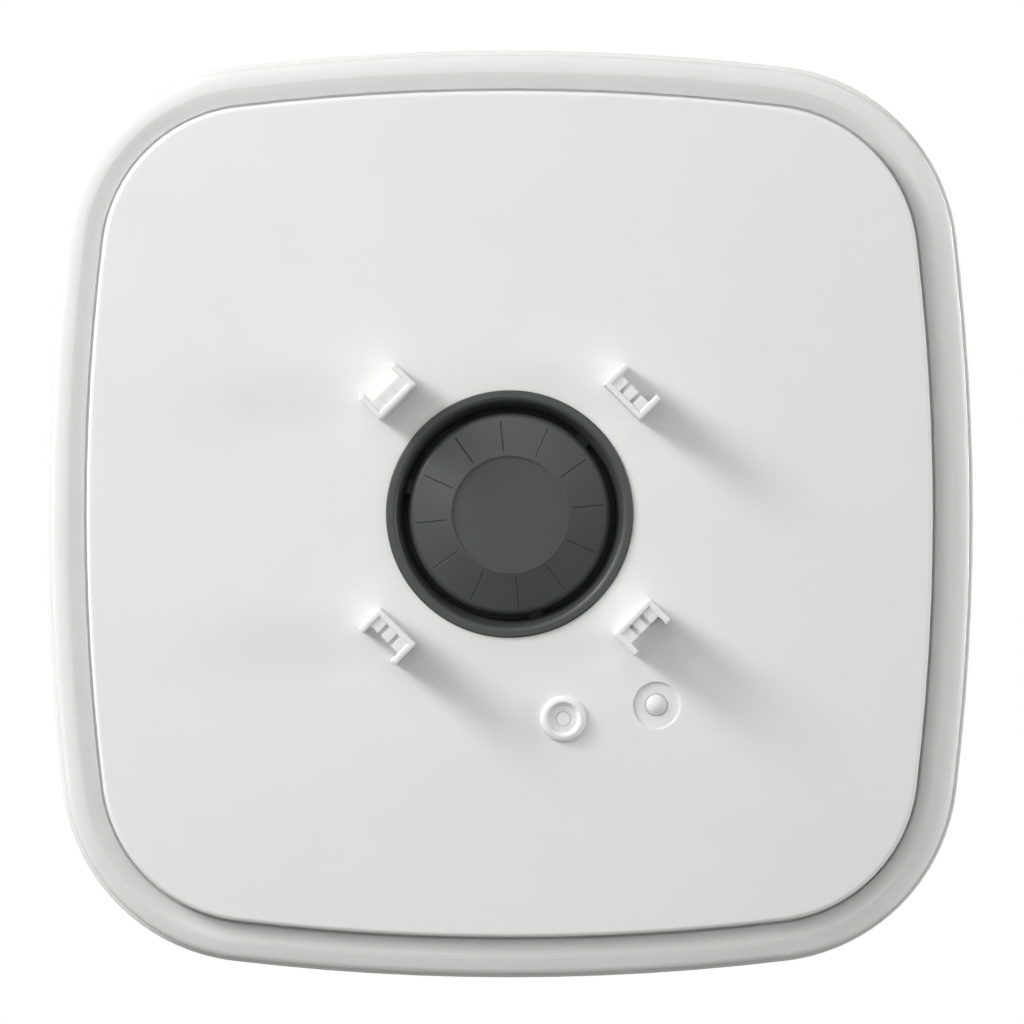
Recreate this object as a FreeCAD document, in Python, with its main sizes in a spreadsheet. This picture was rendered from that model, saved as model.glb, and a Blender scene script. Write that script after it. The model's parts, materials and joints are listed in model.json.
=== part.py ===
import FreeCAD, Part

import math
import os
import re

import Sketcher
from FreeCAD import Placement, Rotation, Vector

# Outdoor alarm siren for a wall, shown with its clip-on front cap taken off.
# Everything is drawn lying on its back: x to the right, y up the wall, and depth out from the wall
# along the drawing's own Z axis. UPRIGHT then stands each sub-part against the wall, so that the
# finished part has +Z up, its front faces -Y and the wall is the plane Y = 0.
# The origin is the middle of the mounting bracket's back face.

SIZES = {
    # Silhouette from the front: four long arcs that meet in round corners.
    "half_width": 100.0,
    "side_radius": 498.0,
    "corner_radius": 42.0,
    # Light frame and front cover, measured inwards from the silhouette.
    "frame_inset": 1.1,
    "frame_wall": 1.9,
    "shoulder_width": 3.2,
    "shoulder_drop": 0.5,
    "crest_round": 1.2,
    "slope_width": 3.4,
    "slope_drop": 0.8,
    "groove_width": 0.8,
    "band_width": 9.2,
    "flange_inset": 13.0,
    "flange_thickness": 1.6,
    "cover_wall": 3.0,
    "cover_edge_round": 0.9,
    "seat_drop": 1.2,
    "skirt_gap": 0.2,
    "skirt_width": 2.0,
    # Depths out from the wall, and rises out from the housing's rim.
    "wall_gap": 1.0,
    "rim_depth": 32.0,
    "crest_rise": 5.2,
    "cover_rise": 8.0,
    "boss_split": 22.0,
    "barrel_rear": 25.0,
    # Rear housing.
    "housing_wall": 3.0,
    "floor_wall": 2.5,
    "rear_round": 14.0,
    "rim_round": 0.5,
    "ledge_width": 1.5,
    "ledge_drop": 3.5,
    "seal_inset": 1.9,
    "seal_height": 0.8,
    "recess_half_width": 60.0,
    "recess_top": 60.0,
    "recess_bottom": 62.0,
    "recess_depth": 9.0,
    "recess_corner": 8.0,
    "channel_half_width": 11.0,
    # Running gap between bodies, clearance of a pin in its hole, gap between fixed pieces.
    "running_gap": 0.3,
    "fit_gap": 0.05,
    "slide_gap": 0.08,
    "rest_gap": 0.1,
    # How far joined pieces run into each other, and how far a tool runs past what it cuts.
    "join": 0.5,
    "past": 1.0,
    # Mounting bracket and the hooks that the siren hangs on.
    "bracket_half_width": 56.0,
    "bracket_top": 56.0,
    "bracket_bottom": 52.0,
    "bracket_thickness": 2.5,
    "hook_x": 50.0,
    "hook_upper_y": 30.0,
    "hook_lower_y": -30.0,
    "hook_width": 8.0,
    "hook_stem": 3.0,
    "hook_lip": 4.0,
    "hook_depth": 8.8,
    "lip_thickness": 2.5,
    "catch_height": 3.6,
    "catch_cheek": 2.0,
    "catch_side_gap": 1.0,
    "rib_x": 10.0,
    "rib_width": 2.0,
    "rib_height": 3.0,
    "rib_end_gap": 6.0,
    "wall_screw_x": 42.0,
    "wall_screw_y": 45.0,
    "wall_screw_hole": 2.25,
    "countersink": 3.4,
    "cable_x": 30.0,
    "cable_y": -20.0,
    "cable_cut_radius": 10.0,
    "cable_radius": 2.5,
    "tear_x": -20.0,
    "tear_y": -40.0,
    "tear_radius": 9.0,
    "tear_slot": 1.0,
    "tear_bridge": 2.0,
    # Lock screw under the siren, and the tab and boss that it joins.
    "tab_bottom": 75.0,
    "tab_thickness": 2.5,
    "tab_half_width": 9.0,
    "tab_depth": 8.5,
    "tab_round": 2.0,
    "lock_depth": 5.6,
    "lock_screw_radius": 1.5,
    "lock_screw_length": 11.5,
    "lock_hole_gap": 0.1,
    "lock_head_radius": 2.8,
    "lock_head_height": 2.2,
    "insert_radius": 2.2,
    "insert_length": 6.0,
    # Case screws: places are measured inwards from the silhouette and along the side.
    "case_screw_inset": 24.0,
    "case_screw_side": 34.0,
    "case_screw_along": 50.0,
    "case_boss_radius": 5.0,
    "cover_boss_radius": 3.5,
    "case_screw_radius": 1.5,
    "case_screw_length": 16.0,
    "case_access_radius": 3.3,
    "case_web": 8.0,
    "tip_room": 0.5,
    "screw_head_radius": 2.8,
    "screw_head_height": 2.2,
    "screw_socket_radius": 1.2,
    "screw_socket_depth": 1.2,
    # Clip posts on the front cover.
    "post_radius": 36.9,
    "post_shift": 2.9,
    "post_width": 11.0,
    "post_depth": 6.5,
    "post_height": 11.2,
    "post_wall": 1.4,
    "post_tip_round": 0.5,
    "rib_reach": 4.1,
    "rib_half": 1.05,
    "rib_slot": 0.9,
    "rib_notch": 1.2,
    "rib_top_drop": 0.5,
    "rib_root": 0.2,
    # Horn in the middle of the cover.
    "barrel_radius": 25.2,
    "barrel_wall": 2.3,
    "flare_width": 1.5,
    "flare_depth": 5.0,
    "lip_overhang": 1.35,
    "lip_height": 0.5,
    "lip_inner_round": 1.1,
    "lip_outer_round": 0.35,
    "spoke_width": 3.0,
    "spoke_depth": 27.0,
    "spoke_height": 3.0,
    "hub_radius": 5.0,
    "hub_height": 4.0,
    "stem_radius": 2.0,
    "cap_gap": 1.2,
    "cap_rise": 0.7,
    "cap_flat_radius": 12.7,
    "cap_disc_rim": 0.3,
    "cap_disc_drop": 0.5,
    "cone_drop": 1.9,
    "cap_skirt": 2.8,
    "cap_wall": 1.3,
    "cap_edge_round": 1.5,
    "groove_inner_gap": 0.7,
    "groove_outer_gap": 1.6,
    "groove_side": 0.5,
    "groove_depth": 0.17,
    # Siren driver behind the horn.
    "chamber_overhang": 2.8,
    "chamber_rear": 14.0,
    "chamber_wall": 6.0,
    "chamber_floor": 1.5,
    "plate_ledge": 3.0,
    "rear_air_depth": 2.0,
    "membrane_thickness": 0.3,
    "membrane_inset": 0.2,
    "piezo_gap": 0.1,
    "piezo_thickness": 0.4,
    "ceramic_radius": 16.0,
    "ceramic_thickness": 0.3,
    "ear_radius": 4.5,
    "ear_offset": 4.0,
    "ear_thickness": 3.0,
    "chamber_screw_length": 10.0,
    "gasket_width": 2.8,
    "gasket_thickness": 1.5,
    "piezo_lead_x": -5.5,
    "piezo_lead_pitch": 3.0,
    "piezo_lead_radius": 0.6,
    "lead_tail": 1.0,
    "lead_bend_gap": 3.0,
    "lead_land": 2.0,
    "lead_slot_width": 7.0,
    "lead_slot_rise": 1.5,
    "lead_slot_height": 3.5,
    # Ring boss with the light pipe, and recess with the domed button.
    "pipe_x": 11.5,
    "pipe_y": -43.9,
    "ring_radius": 4.95,
    "ring_height": 1.4,
    "ring_round": 1.15,
    "dish_radius": 3.65,
    "dish_floor_radius": 2.9,
    "dish_depth": 1.0,
    "pipe_radius": 1.5,
    "pipe_flange_radius": 3.0,
    "pipe_flange": 1.0,
    "dome_x": 31.5,
    "dome_y": -41.0,
    "dome_recess_radius": 5.05,
    "dome_recess": 0.5,
    "dome_radius": 2.3,
    "dome_sphere": 3.6,
    "dome_rise": 0.35,
    # Push buttons, their flanges, rods, springs and switches.
    "button_flange_radius": 4.2,
    "button_flange": 1.0,
    "button_rod_radius": 1.6,
    "switch_size": 6.0,
    "switch_height": 3.5,
    "switch_stem_radius": 1.7,
    "switch_stem": 0.8,
    "stem_gap": 0.4,
    "front_travel": 1.2,
    "rear_travel": 2.0,
    "power_travel": 0.8,
    "tamper_x": -20.0,
    "tamper_y": -46.0,
    "tamper_radius": 2.4,
    "power_x": 30.0,
    "power_y": -50.0,
    "power_radius": 3.0,
    "spring_radius": 2.3,
    "spring_wire": 0.22,
    # Main board: its width and lower edge follow the silhouette, its upper edge clears the siren driver,
    # and the tallest part on it, the transformer, clears the cover.
    "board_side_gap": 38.0,
    "board_lower_gap": 28.0,
    "board_top": -37.0,
    "board_thickness": 1.6,
    "board_clearance": 1.4,
    "board_screw_inset": 5.0,
    "standoff_radius": 3.5,
    "board_screw_radius": 1.2,
    "board_screw_length": 8.0,
    "board_head_radius": 2.4,
    "board_head_height": 1.8,
    # Parts on the board: x is the middle of each, and rise is how far it starts above the lower edge.
    "shield_x": -35.0,
    "shield_rise": 3.0,
    "shield_width": 18.0,
    "shield_length": 19.0,
    "shield_height": 2.6,
    "shield_round": 0.8,
    "processor_x": -14.5,
    "processor_rise": 8.0,
    "processor_size": 9.0,
    "processor_height": 1.2,
    "transformer_x": 2.0,
    "transformer_rise": 1.0,
    "transformer_width": 16.0,
    "transformer_length": 14.0,
    "transformer_foot": 1.6,
    "transformer_height": 10.0,
    "core_thickness": 2.0,
    "core_margin": 2.0,
    "winding_top": 8.5,
    "capacitor_start": 14.5,
    "capacitor_end": 30.0,
    "capacitor_rise": 9.0,
    "capacitor_radius": 4.6,
    "capacitor_seal_radius": 4.0,
    "capacitor_seal": 1.0,
    "terminal_x": 37.5,
    "terminal_rise": 1.0,
    "terminal_width": 12.0,
    "terminal_length": 10.0,
    "terminal_height": 9.0,
    "terminal_pitch": 6.0,
    "terminal_well_radius": 1.9,
    "terminal_well_floor": 4.0,
    "terminal_screw_radius": 1.8,
    "terminal_screw_height": 3.5,
    "terminal_slot_width": 0.6,
    "terminal_slot_depth": 0.7,
    "terminal_entry_radius": 1.4,
    "terminal_entry_height": 2.4,
    "terminal_entry_length": 4.0,
    "antenna_inset": 1.2,
    "antenna_thickness": 0.5,
    "antenna_height": 8.0,
    "antenna_end_gap": 4.0,
    "antenna_foot_reach": 3.3,
    "antenna_foot_width": 4.0,
    "connector_x": 40.0,
    "connector_width": 8.0,
    "connector_length": 6.0,
    "connector_drop": 1.0,
    "connector_height": 6.0,
    "lamp_size": 3.0,
    "lamp_height": 1.5,
    # Battery tray and its four cells; the tray's upper edge follows the silhouette.
    "tray_half_width": 41.0,
    "tray_upper_gap": 22.0,
    "tray_length": 39.5,
    "tray_wall": 1.5,
    "tray_depth": 24.0,
    "tray_ear_x": 30.0,
    "tray_ear_radius": 4.0,
    "tray_ear_thickness": 2.0,
    "cell_radius": 8.5,
    "cell_length": 34.5,
    "cell_lift": 0.3,
    "cell_round": 0.8,
    "nub_radius": 3.2,
    "nub_length": 1.2,
    "row_offset": 9.1,
    "contact_size": 12.0,
    "contact_thickness": 0.4,
    "clamp_half_width": 14.0,
    "clamp_thickness": 1.5,
    "battery_spring_radius": 3.0,
    "battery_spring_wire": 0.25,
    # Battery leads, from the tray's end down to the connector.
    "lead_radius": 0.7,
    "lead_pitch": 2.6,
    "lead_drop": 4.0,
    "lead_bow": 13.0,
    "lead_turn_rise": 21.0,
    "lead_dive_rise": 8.0,
    "lead_dive": 3.6,
    "plug_middle": 3.0,
    # Light boards behind the light frame.
    "reflector_gap": 0.2,
    "reflector_thickness": 1.5,
    "reflector_inner": 14.0,
    "reflector_wall": 1.6,
    "light_board_length": 110.0,
    "light_board_width": 5.0,
    "light_board_inset": 6.5,
    "light_board_thickness": 1.2,
    "chip_size": 2.8,
    "chip_height": 1.0,
    "chip_pitch": 12.0,
    # Cable gland and vent.
    "gland_stem_radius": 5.0,
    "gland_outer_radius": 7.0,
    "gland_inner_radius": 6.5,
    "gland_outer_flange": 1.4,
    "gland_inner_flange": 2.0,
    "vent_x": -45.0,
    "vent_y": 10.0,
    "vent_radius": 4.0,
    "vent_stem_radius": 3.0,
    "vent_head": 1.2,
}

# Depths that follow from those sizes, and stand in the same sheet under names of their own.
FOLLOWING = {
    "crest_depth": "rim_depth + crest_rise",
    "cover_front": "rim_depth + cover_rise",
    "cap_top": "cover_front + cap_rise",
    "dome_top": "cover_front + dome_rise",
    "board_depth": "cover_front - cover_wall - board_clearance - transformer_height - board_thickness",
}

CHIPS_PER_BOARD = 9
CAP_GROOVES = 12
CAP_GROOVE_PHASE = 5.6
SPOKE_ANGLES = (45, 165, 285)
EAR_ANGLES = (45, 135, 225, 315)
BUTTON_SPRING_TURNS = 5
BATTERY_SPRING_TURNS = 3

# Depths, heights and radii that follow from the sizes above.
FLOOR = "(wall_gap + floor_wall)"
RECESS = "(wall_gap + recess_depth)"
RECESS_INNER = "(wall_gap + recess_depth + floor_wall)"
LEDGE = "(rim_depth - ledge_drop)"
COVER_BACK = "(cover_front - cover_wall)"
SEAT = "(cover_front - cover_wall - seat_drop)"
FLANGE_BACK = "(cover_front - cover_wall - seat_drop - flange_thickness)"
FRAME_EDGE = "(band_width - groove_width)"
SKIRT_INSET = "(flange_inset + skirt_gap)"
TAB_TOP = "(tab_thickness - tab_bottom)"
LOCK_BOSS_BOTTOM = "(tab_thickness - tab_bottom + running_gap)"
CASE_WEB_REAR = "(boss_split - case_web)"
RING_TOP = "(cover_front + ring_height)"
DISH_FLOOR = "(cover_front + ring_height - dish_depth)"
LIP_RADIUS = "(barrel_radius + lip_overhang)"
BORE_RADIUS = "(barrel_radius - barrel_wall)"
CAP_RADIUS = "(barrel_radius - barrel_wall - cap_gap)"
CHAMBER_RADIUS = "(barrel_radius + chamber_overhang)"
CHAMBER_BORE = "(barrel_radius + chamber_overhang - chamber_wall)"
CHAMBER_FRONT = "(barrel_rear - membrane_thickness)"
PLATE_REST = "(chamber_rear + chamber_floor + rear_air_depth)"
EAR_RING = "(barrel_radius + chamber_overhang + ear_offset)"
BOARD_FRONT = "(board_depth + board_thickness)"
BOARD_SIDE = "(half_width - board_side_gap)"
BOARD_BOTTOM = "(board_lower_gap - half_width)"
TRAY_TOP = "(half_width - tray_upper_gap)"
TRAY_BOTTOM = "(half_width - tray_upper_gap - tray_length)"
TRAY_MIDDLE = "(half_width - tray_upper_gap - tray_length / 2)"

UPRIGHT = Placement(Vector(0, 0, 0), Rotation(Vector(1, 0, 0), 90))
WHOLE_TYPES = ("PartDesign::Body", "Part::Cut", "Part::MultiFuse", "Part::Fillet")
NAME = re.compile(r"[A-Za-z_][A-Za-z0-9_]*")
NODES = []
TINY = 1e-3

doc = FreeCAD.newDocument("alarm_siren")


def size_sheet():
    """Writes the driving sizes and what follows from them to the sheet, one named cell each."""
    cells = doc.addObject("Spreadsheet::Sheet", "Sizes")
    contents = {alias: str(number) for alias, number in SIZES.items()}
    contents.update({alias: f"={formula}" for alias, formula in FOLLOWING.items()})
    for row, (alias, content) in enumerate(contents.items(), start=1):
        cells.set(f"A{row}", alias)
        cells.set(f"B{row}", content)
        cells.setAlias(f"B{row}", alias)
    doc.recompute()
    return cells


sheet = size_sheet()


def bound(text):
    """Points every size name in an expression at its cell in the sheet."""

    def pointed(word):
        name = word.group(0)
        return f"Sizes.{name}" if name in SIZES or name in FOLLOWING else name

    return NAME.sub(pointed, str(text))


def value(text):
    """The number that an expression of sizes comes to."""
    return float(sheet.evalExpression(bound(text)))


def place(thing, x, y, depth):
    thing.setExpression("Placement.Base.x", bound(x))
    thing.setExpression("Placement.Base.y", bound(y))
    thing.setExpression("Placement.Base.z", bound(depth))
    return thing


def box(name, x0, x1, y0, y1, back, front):
    """A block between two planes each way."""
    thing = doc.addObject("Part::Box", name)
    thing.setExpression("Length", bound(f"({x1}) - ({x0})"))
    thing.setExpression("Width", bound(f"({y1}) - ({y0})"))
    thing.setExpression("Height", bound(f"({front}) - ({back})"))
    return place(thing, x0, y0, back)


def cylinder(name, radius, x, y, back, front):
    """A cylinder that stands out from the wall."""
    thing = doc.addObject("Part::Cylinder", name)
    thing.setExpression("Radius", bound(radius))
    thing.setExpression("Height", bound(f"({front}) - ({back})"))
    return place(thing, x, y, back)


def cylinder_x(name, radius, x0, x1, y, depth):
    """A cylinder that lies across the wall."""
    thing = doc.addObject("Part::Cylinder", name)
    thing.Placement = Placement(Vector(0, 0, 0), Rotation(Vector(0, 1, 0), 90))
    thing.setExpression("Radius", bound(radius))
    thing.setExpression("Height", bound(f"({x1}) - ({x0})"))
    return place(thing, x0, y, depth)


def cylinder_y(name, radius, x, y0, y1, depth):
    """A cylinder that runs up the wall."""
    thing = doc.addObject("Part::Cylinder", name)
    thing.Placement = Placement(Vector(0, 0, 0), Rotation(Vector(1, 0, 0), -90))
    thing.setExpression("Radius", bound(radius))
    thing.setExpression("Height", bound(f"({y1}) - ({y0})"))
    return place(thing, x, y0, depth)


def cone(name, back_radius, front_radius, x, y, back, front):
    """A cone or part of one that stands out from the wall."""
    thing = doc.addObject("Part::Cone", name)
    thing.setExpression("Radius1", bound(back_radius))
    thing.setExpression("Radius2", bound(front_radius))
    thing.setExpression("Height", bound(f"({front}) - ({back})"))
    return place(thing, x, y, back)


def sphere(name, radius, x, y, depth):
    thing = doc.addObject("Part::Sphere", name)
    thing.setExpression("Radius", bound(radius))
    return place(thing, x, y, depth)


def fuse(name, *things):
    whole = doc.addObject("Part::MultiFuse", name)
    whole.Shapes = list(things)
    return whole


def cut(name, base, *tools):
    whole = doc.addObject("Part::Cut", name)
    whole.Base = base
    whole.Tool = tools[0] if len(tools) == 1 else fuse(f"{name}_tools", *tools)
    return whole


def common(name, first, second):
    whole = doc.addObject("Part::Common", name)
    whole.Base = first
    whole.Tool = second
    return whole


def tube(name, outer, inner, x, y, back, front):
    around = cylinder(f"{name}_outer", outer, x, y, back, front)
    bore = cylinder(f"{name}_bore", inner, x, y, f"({back}) - past", f"({front}) + past")
    return cut(name, around, bore)


def turned(name, angle, *things):
    """Turns a copy's pieces about the middle axis of the siren."""
    whole = doc.addObject("Part::Compound", name)
    whole.Links = list(things)
    whole.Placement = Placement(Vector(0, 0, 0), Rotation(Vector(0, 0, 1), angle))
    return whole


def node(name, *things):
    """Names one sub-part and stands it upright against the wall."""
    whole = things[0]
    if len(things) > 1 or whole.TypeId not in WHOLE_TYPES:
        whole = doc.addObject("Part::Compound", name)
        whole.Links = list(things)
    whole.Label = name
    whole.Placement = UPRIGHT
    NODES.append(whole)
    return whole


def at_depth(text):
    """Picks the edges that lie flat at one depth."""
    depth = value(text)

    def test(edge):
        limits = edge.BoundBox
        return abs(limits.ZMin - depth) < TINY and abs(limits.ZMax - depth) < TINY

    return test


def standing(edge):
    """Picks the straight edges that run out from the wall."""
    limits = edge.BoundBox
    return limits.XLength < TINY and limits.YLength < TINY and limits.ZLength > TINY


def rounded(name, base, radius, *tests):
    """Rounds the edges of a primitive or boolean that pass every test."""
    doc.recompute()
    number = value(radius)
    whole = doc.addObject("Part::Fillet", name)
    whole.Base = base
    edges = enumerate(base.Shape.Edges, start=1)
    whole.Edges = [(index, number, number) for index, edge in edges if all(test(edge) for test in tests)]
    return whole


def rounded_box(name, x0, x1, y0, y1, back, front, radius):
    return rounded(name, box(f"{name}_block", x0, x1, y0, y1, back, front), radius, standing)


def edge_names(shape, *tests):
    edges = enumerate(shape.Edges, start=1)
    return [f"Edge{index}" for index, edge in edges if all(test(edge) for test in tests)]


def outline(name, inset, back, front):
    """A slab with the siren's outline, drawn inset from the silhouette.

    Each long side is an arc whose centre stays on the far half of its own axis, so every outline
    runs parallel to the silhouette.
    """
    body = doc.addObject("PartDesign::Body", name)
    sketch = body.newObject("Sketcher::SketchObject", f"{name}_sketch")
    base_plane = next(plane for plane in body.Origin.OriginFeatures if plane.Role == "XY_Plane")
    sketch.AttachmentSupport = [(base_plane, "")]
    sketch.MapMode = "FlatFace"
    sketch.setExpression("AttachmentOffset.Base.z", bound(back))
    radius = value(f"side_radius - ({inset})")
    shift = value("side_radius - half_width")
    corner = (math.sqrt(2 * radius**2 - shift**2) - shift) / 2
    half_turn = math.atan2(corner, corner + shift)
    for quarter in range(4):
        middle = quarter * math.pi / 2
        centre = Vector(-shift * math.cos(middle), -shift * math.sin(middle), 0)
        circle = Part.Circle(centre, Vector(0, 0, 1), radius)
        sketch.addGeometry(Part.ArcOfCircle(circle, middle - half_turn, middle + half_turn), False)
    origin = (-1, 1)
    for quarter in range(4):
        sketch.addConstraint(Sketcher.Constraint("Coincident", quarter, 2, (quarter + 1) % 4, 1))
        axis = -1 if quarter % 2 == 0 else -2
        sketch.addConstraint(Sketcher.Constraint("PointOnObject", quarter, 3, axis))
        ends = (quarter, 3, *origin) if quarter < 2 else (*origin, quarter, 3)
        across = "DistanceX" if quarter % 2 == 0 else "DistanceY"
        distance = sketch.addConstraint(Sketcher.Constraint(across, *ends, shift))
        sketch.setExpression(f"Constraints[{distance}]", bound("side_radius - half_width"))
        if quarter:
            sketch.addConstraint(Sketcher.Constraint("Equal", 0, quarter))
    side = sketch.addConstraint(Sketcher.Constraint("Radius", 0, radius))
    sketch.setExpression(f"Constraints[{side}]", bound(f"side_radius - ({inset})"))
    pad = body.newObject("PartDesign::Pad", f"{name}_pad")
    pad.Profile = sketch
    pad.setExpression("Length", bound(f"({front}) - ({back})"))
    doc.recompute()
    corners = body.newObject("PartDesign::Fillet", f"{name}_corners")
    corners.Base = (pad, edge_names(pad.Shape, standing))
    corners.setExpression("Radius", bound(f"corner_radius - ({inset})"))
    doc.recompute()
    return body


def soften(body, radius, depth):
    """Rounds a slab's whole edge at one depth."""
    base = body.Tip
    edge = body.newObject("PartDesign::Fillet", f"{body.Name}_round")
    edge.Base = (base, edge_names(base.Shape, at_depth(depth)))
    edge.setExpression("Radius", bound(radius))
    doc.recompute()
    return body


def slope(body, across, rise, depth):
    """Bevels a slab's whole edge at one depth, wider across than it rises."""
    base = body.Tip
    edge = body.newObject("PartDesign::Chamfer", f"{body.Name}_slope")
    edge.Base = (base, edge_names(base.Shape, at_depth(depth)))
    edge.ChamferType = "Two distances"
    edge.setExpression("Size", bound(rise))
    edge.setExpression("Size2", bound(across))
    doc.recompute()
    assert edge.Shape.Volume < base.Shape.Volume
    return body


def screw(name, kind, x, y, seat, length, towards_front):
    """A pan-head screw with a round socket; its head bears on the seat."""
    radius = f"{kind}_screw_radius"
    head_radius = "board_head_radius" if kind == "board" else "screw_head_radius"
    head = "board_head_height" if kind == "board" else "screw_head_height"
    if towards_front:
        shank = cylinder(f"{name}_shank", radius, x, y, f"({seat}) - join", f"({seat}) + {length}")
        cap = cylinder(f"{name}_head", head_radius, x, y, f"({seat}) - {head}", seat)
        low = f"({seat}) - {head} - past"
        high = f"({seat}) - {head} + screw_socket_depth"
    else:
        shank = cylinder(f"{name}_shank", radius, x, y, f"({seat}) - {length}", f"({seat}) + join")
        cap = cylinder(f"{name}_head", head_radius, x, y, seat, f"({seat}) + {head}")
        low = f"({seat}) + {head} - screw_socket_depth"
        high = f"({seat}) + {head} + past"
    socket = cylinder(f"{name}_socket", "screw_socket_radius", x, y, low, high)
    return cut(name, fuse(f"{name}_solid", shank, cap), socket)


def helix_path(centre, axis, radius, length, turns):
    """A helix as pairs of tangent arcs, four pairs to a turn."""
    along = axis.normalize()
    side = along.cross(Vector(0, 0, 1) if abs(along.z) < 0.5 else Vector(1, 0, 0)).normalize()
    other = along.cross(side)
    rise = length / (2 * math.pi * turns)

    def point(angle):
        out = side * (radius * math.cos(angle)) + other * (radius * math.sin(angle))
        return centre + out + along * (rise * angle)

    def heading(angle):
        turn = other * (radius * math.cos(angle)) - side * (radius * math.sin(angle))
        return (turn + along * rise).normalize()

    def tangent_arc(start, bend, end):
        chord_middle = (start + end) * 0.5
        half_chord = (end - start).Length / 2
        lean = math.atan2((bend - chord_middle).Length, half_chord)
        top = chord_middle + (bend - chord_middle).normalize() * (half_chord * math.tan(lean / 2))
        return Part.Arc(start, top, end).toShape()

    edges = []
    steps = round(turns * 4)
    for step in range(steps):
        first = step * math.pi / 2
        second = first + math.pi / 2
        start, end = point(first), point(second)
        away, back = heading(first), heading(second)
        span = end - start
        spread = 2 * (1 - away.dot(back))
        pull = -span.dot(away + back) + math.sqrt(span.dot(away + back) ** 2 + spread * span.dot(span))
        reach = pull / spread
        bend_one = start + away * reach
        bend_two = end - back * reach
        middle = (bend_one + bend_two) * 0.5
        edges.append(tangent_arc(start, bend_one, middle))
        edges.append(tangent_arc(middle, bend_two, end))
    return Part.Wire(edges)


def swept(name, path, wire_radius):
    """A round wire of one radius along a path."""
    first = path.Edges[0]
    direction = first.tangentAt(first.FirstParameter)
    ring = Part.Wire(Part.makeCircle(wire_radius, first.valueAt(first.FirstParameter), direction))
    shape = path.makePipeShell([ring], True, False)
    expected = math.pi * wire_radius**2 * path.Length
    assert abs(shape.Volume / expected - 1) < 0.02, f"{name}: volume {shape.Volume} for {expected}"
    thing = doc.addObject("Part::Feature", name)
    thing.Shape = shape
    return thing


def coil(name, centre, axis, radius, wire_radius, length, turns):
    """An open coil spring; length is from end face to end face of the wire."""
    travel = length - 2 * wire_radius
    start = centre + axis * wire_radius
    return swept(name, helix_path(start, axis, radius, travel, turns), wire_radius)


def lead(name, points, wire_radius):
    """A wire along straight runs joined by tangent arcs, each as large as its runs allow."""
    corners = [Vector(*point) for point in points]
    edges = []
    start = corners[0]
    for before, bend, after in zip(corners, corners[1:], corners[2:]):
        run = min((bend - before).Length, (after - bend).Length)
        incoming = (bend - before).normalize()
        outgoing = (after - bend).normalize()
        half_turn = incoming.getAngle(outgoing) / 2
        setback = 0.45 * run
        radius = setback / math.tan(half_turn)
        enter = bend - incoming * setback
        leave = bend + outgoing * setback
        inward = (outgoing - incoming).normalize()
        top = bend + inward * (radius / math.cos(half_turn) - radius)
        edges.append(Part.LineSegment(start, enter).toShape())
        edges.append(Part.Arc(enter, top, leave).toShape())
        start = leave
    edges.append(Part.LineSegment(start, corners[-1]).toShape())
    return swept(name, Part.Wire(edges), wire_radius)


def case_screw_places():
    """The eight case screws, two to a side."""
    far = "(half_width - case_screw_inset)"
    sides = [(f"{way}{far}", f"{up}case_screw_side") for way in ("", "-") for up in ("", "-")]
    ends = [(f"{way}case_screw_along", f"{up}{far}") for way in ("", "-") for up in ("", "-")]
    return sides + ends


def board_screw_places():
    return [
        (f"{way}({BOARD_SIDE} - board_screw_inset)", height)
        for way in ("", "-")
        for height in ("board_top - board_screw_inset", f"{BOARD_BOTTOM} + board_screw_inset")
    ]


def tray_screw_places():
    return [(f"{way}tray_ear_x", f"{TRAY_TOP} + tray_ear_radius") for way in ("", "-")]


def hook_places():
    return [(way, height) for way in ("", "-") for height in ("hook_upper_y", "hook_lower_y")]


def mounting_bracket():
    """The plate that is screwed to the wall, with four hooks and the lock tab."""
    plate = rounded_box(
        "bracket_plate", "-bracket_half_width", "bracket_half_width", "-bracket_bottom", "bracket_top",
        "0", "bracket_thickness", "recess_corner",
    )
    tongue = box(
        "bracket_tongue", "-tab_half_width", "tab_half_width", "-tab_bottom", "-bracket_bottom + join",
        "0", "bracket_thickness",
    )
    tab = box("bracket_tab", "-tab_half_width", "tab_half_width", "-tab_bottom", TAB_TOP, "0", "tab_depth")
    pieces = [plate, tongue, rounded("bracket_tab_round", tab, "tab_round", tab_corner)]
    for number, (way, height) in enumerate(hook_places()):
        left = f"{way}hook_x - hook_width / 2"
        right = f"{way}hook_x + hook_width / 2"
        lip_end = f"{height} + hook_stem + hook_lip"
        lip_back = "hook_depth - lip_thickness"
        stem = box(f"hook_stem_{number}", left, right, height, f"{height} + hook_stem", "0", "hook_depth")
        lip = box(f"hook_lip_{number}", left, right, height, lip_end, lip_back, "hook_depth")
        pieces += [stem, lip]
    for number, way in enumerate(("", "-")):
        left = f"{way}rib_x - rib_width / 2"
        right = f"{way}rib_x + rib_width / 2"
        pieces.append(box(
            f"bracket_rib_{number}", left, right, "hook_lower_y", "bracket_top - rib_end_gap",
            "bracket_thickness - join", "bracket_thickness + rib_height",
        ))
    node("mounting_bracket", cut("bracket", fuse("bracket_solid", *pieces), *bracket_holes()))


def tab_corner(edge):
    """Picks the two front corners of the lock tab."""
    limits = edge.BoundBox
    front = value("tab_depth")
    across = limits.XLength < TINY and limits.ZLength < TINY
    return across and abs(limits.ZMax - front) < TINY


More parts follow.
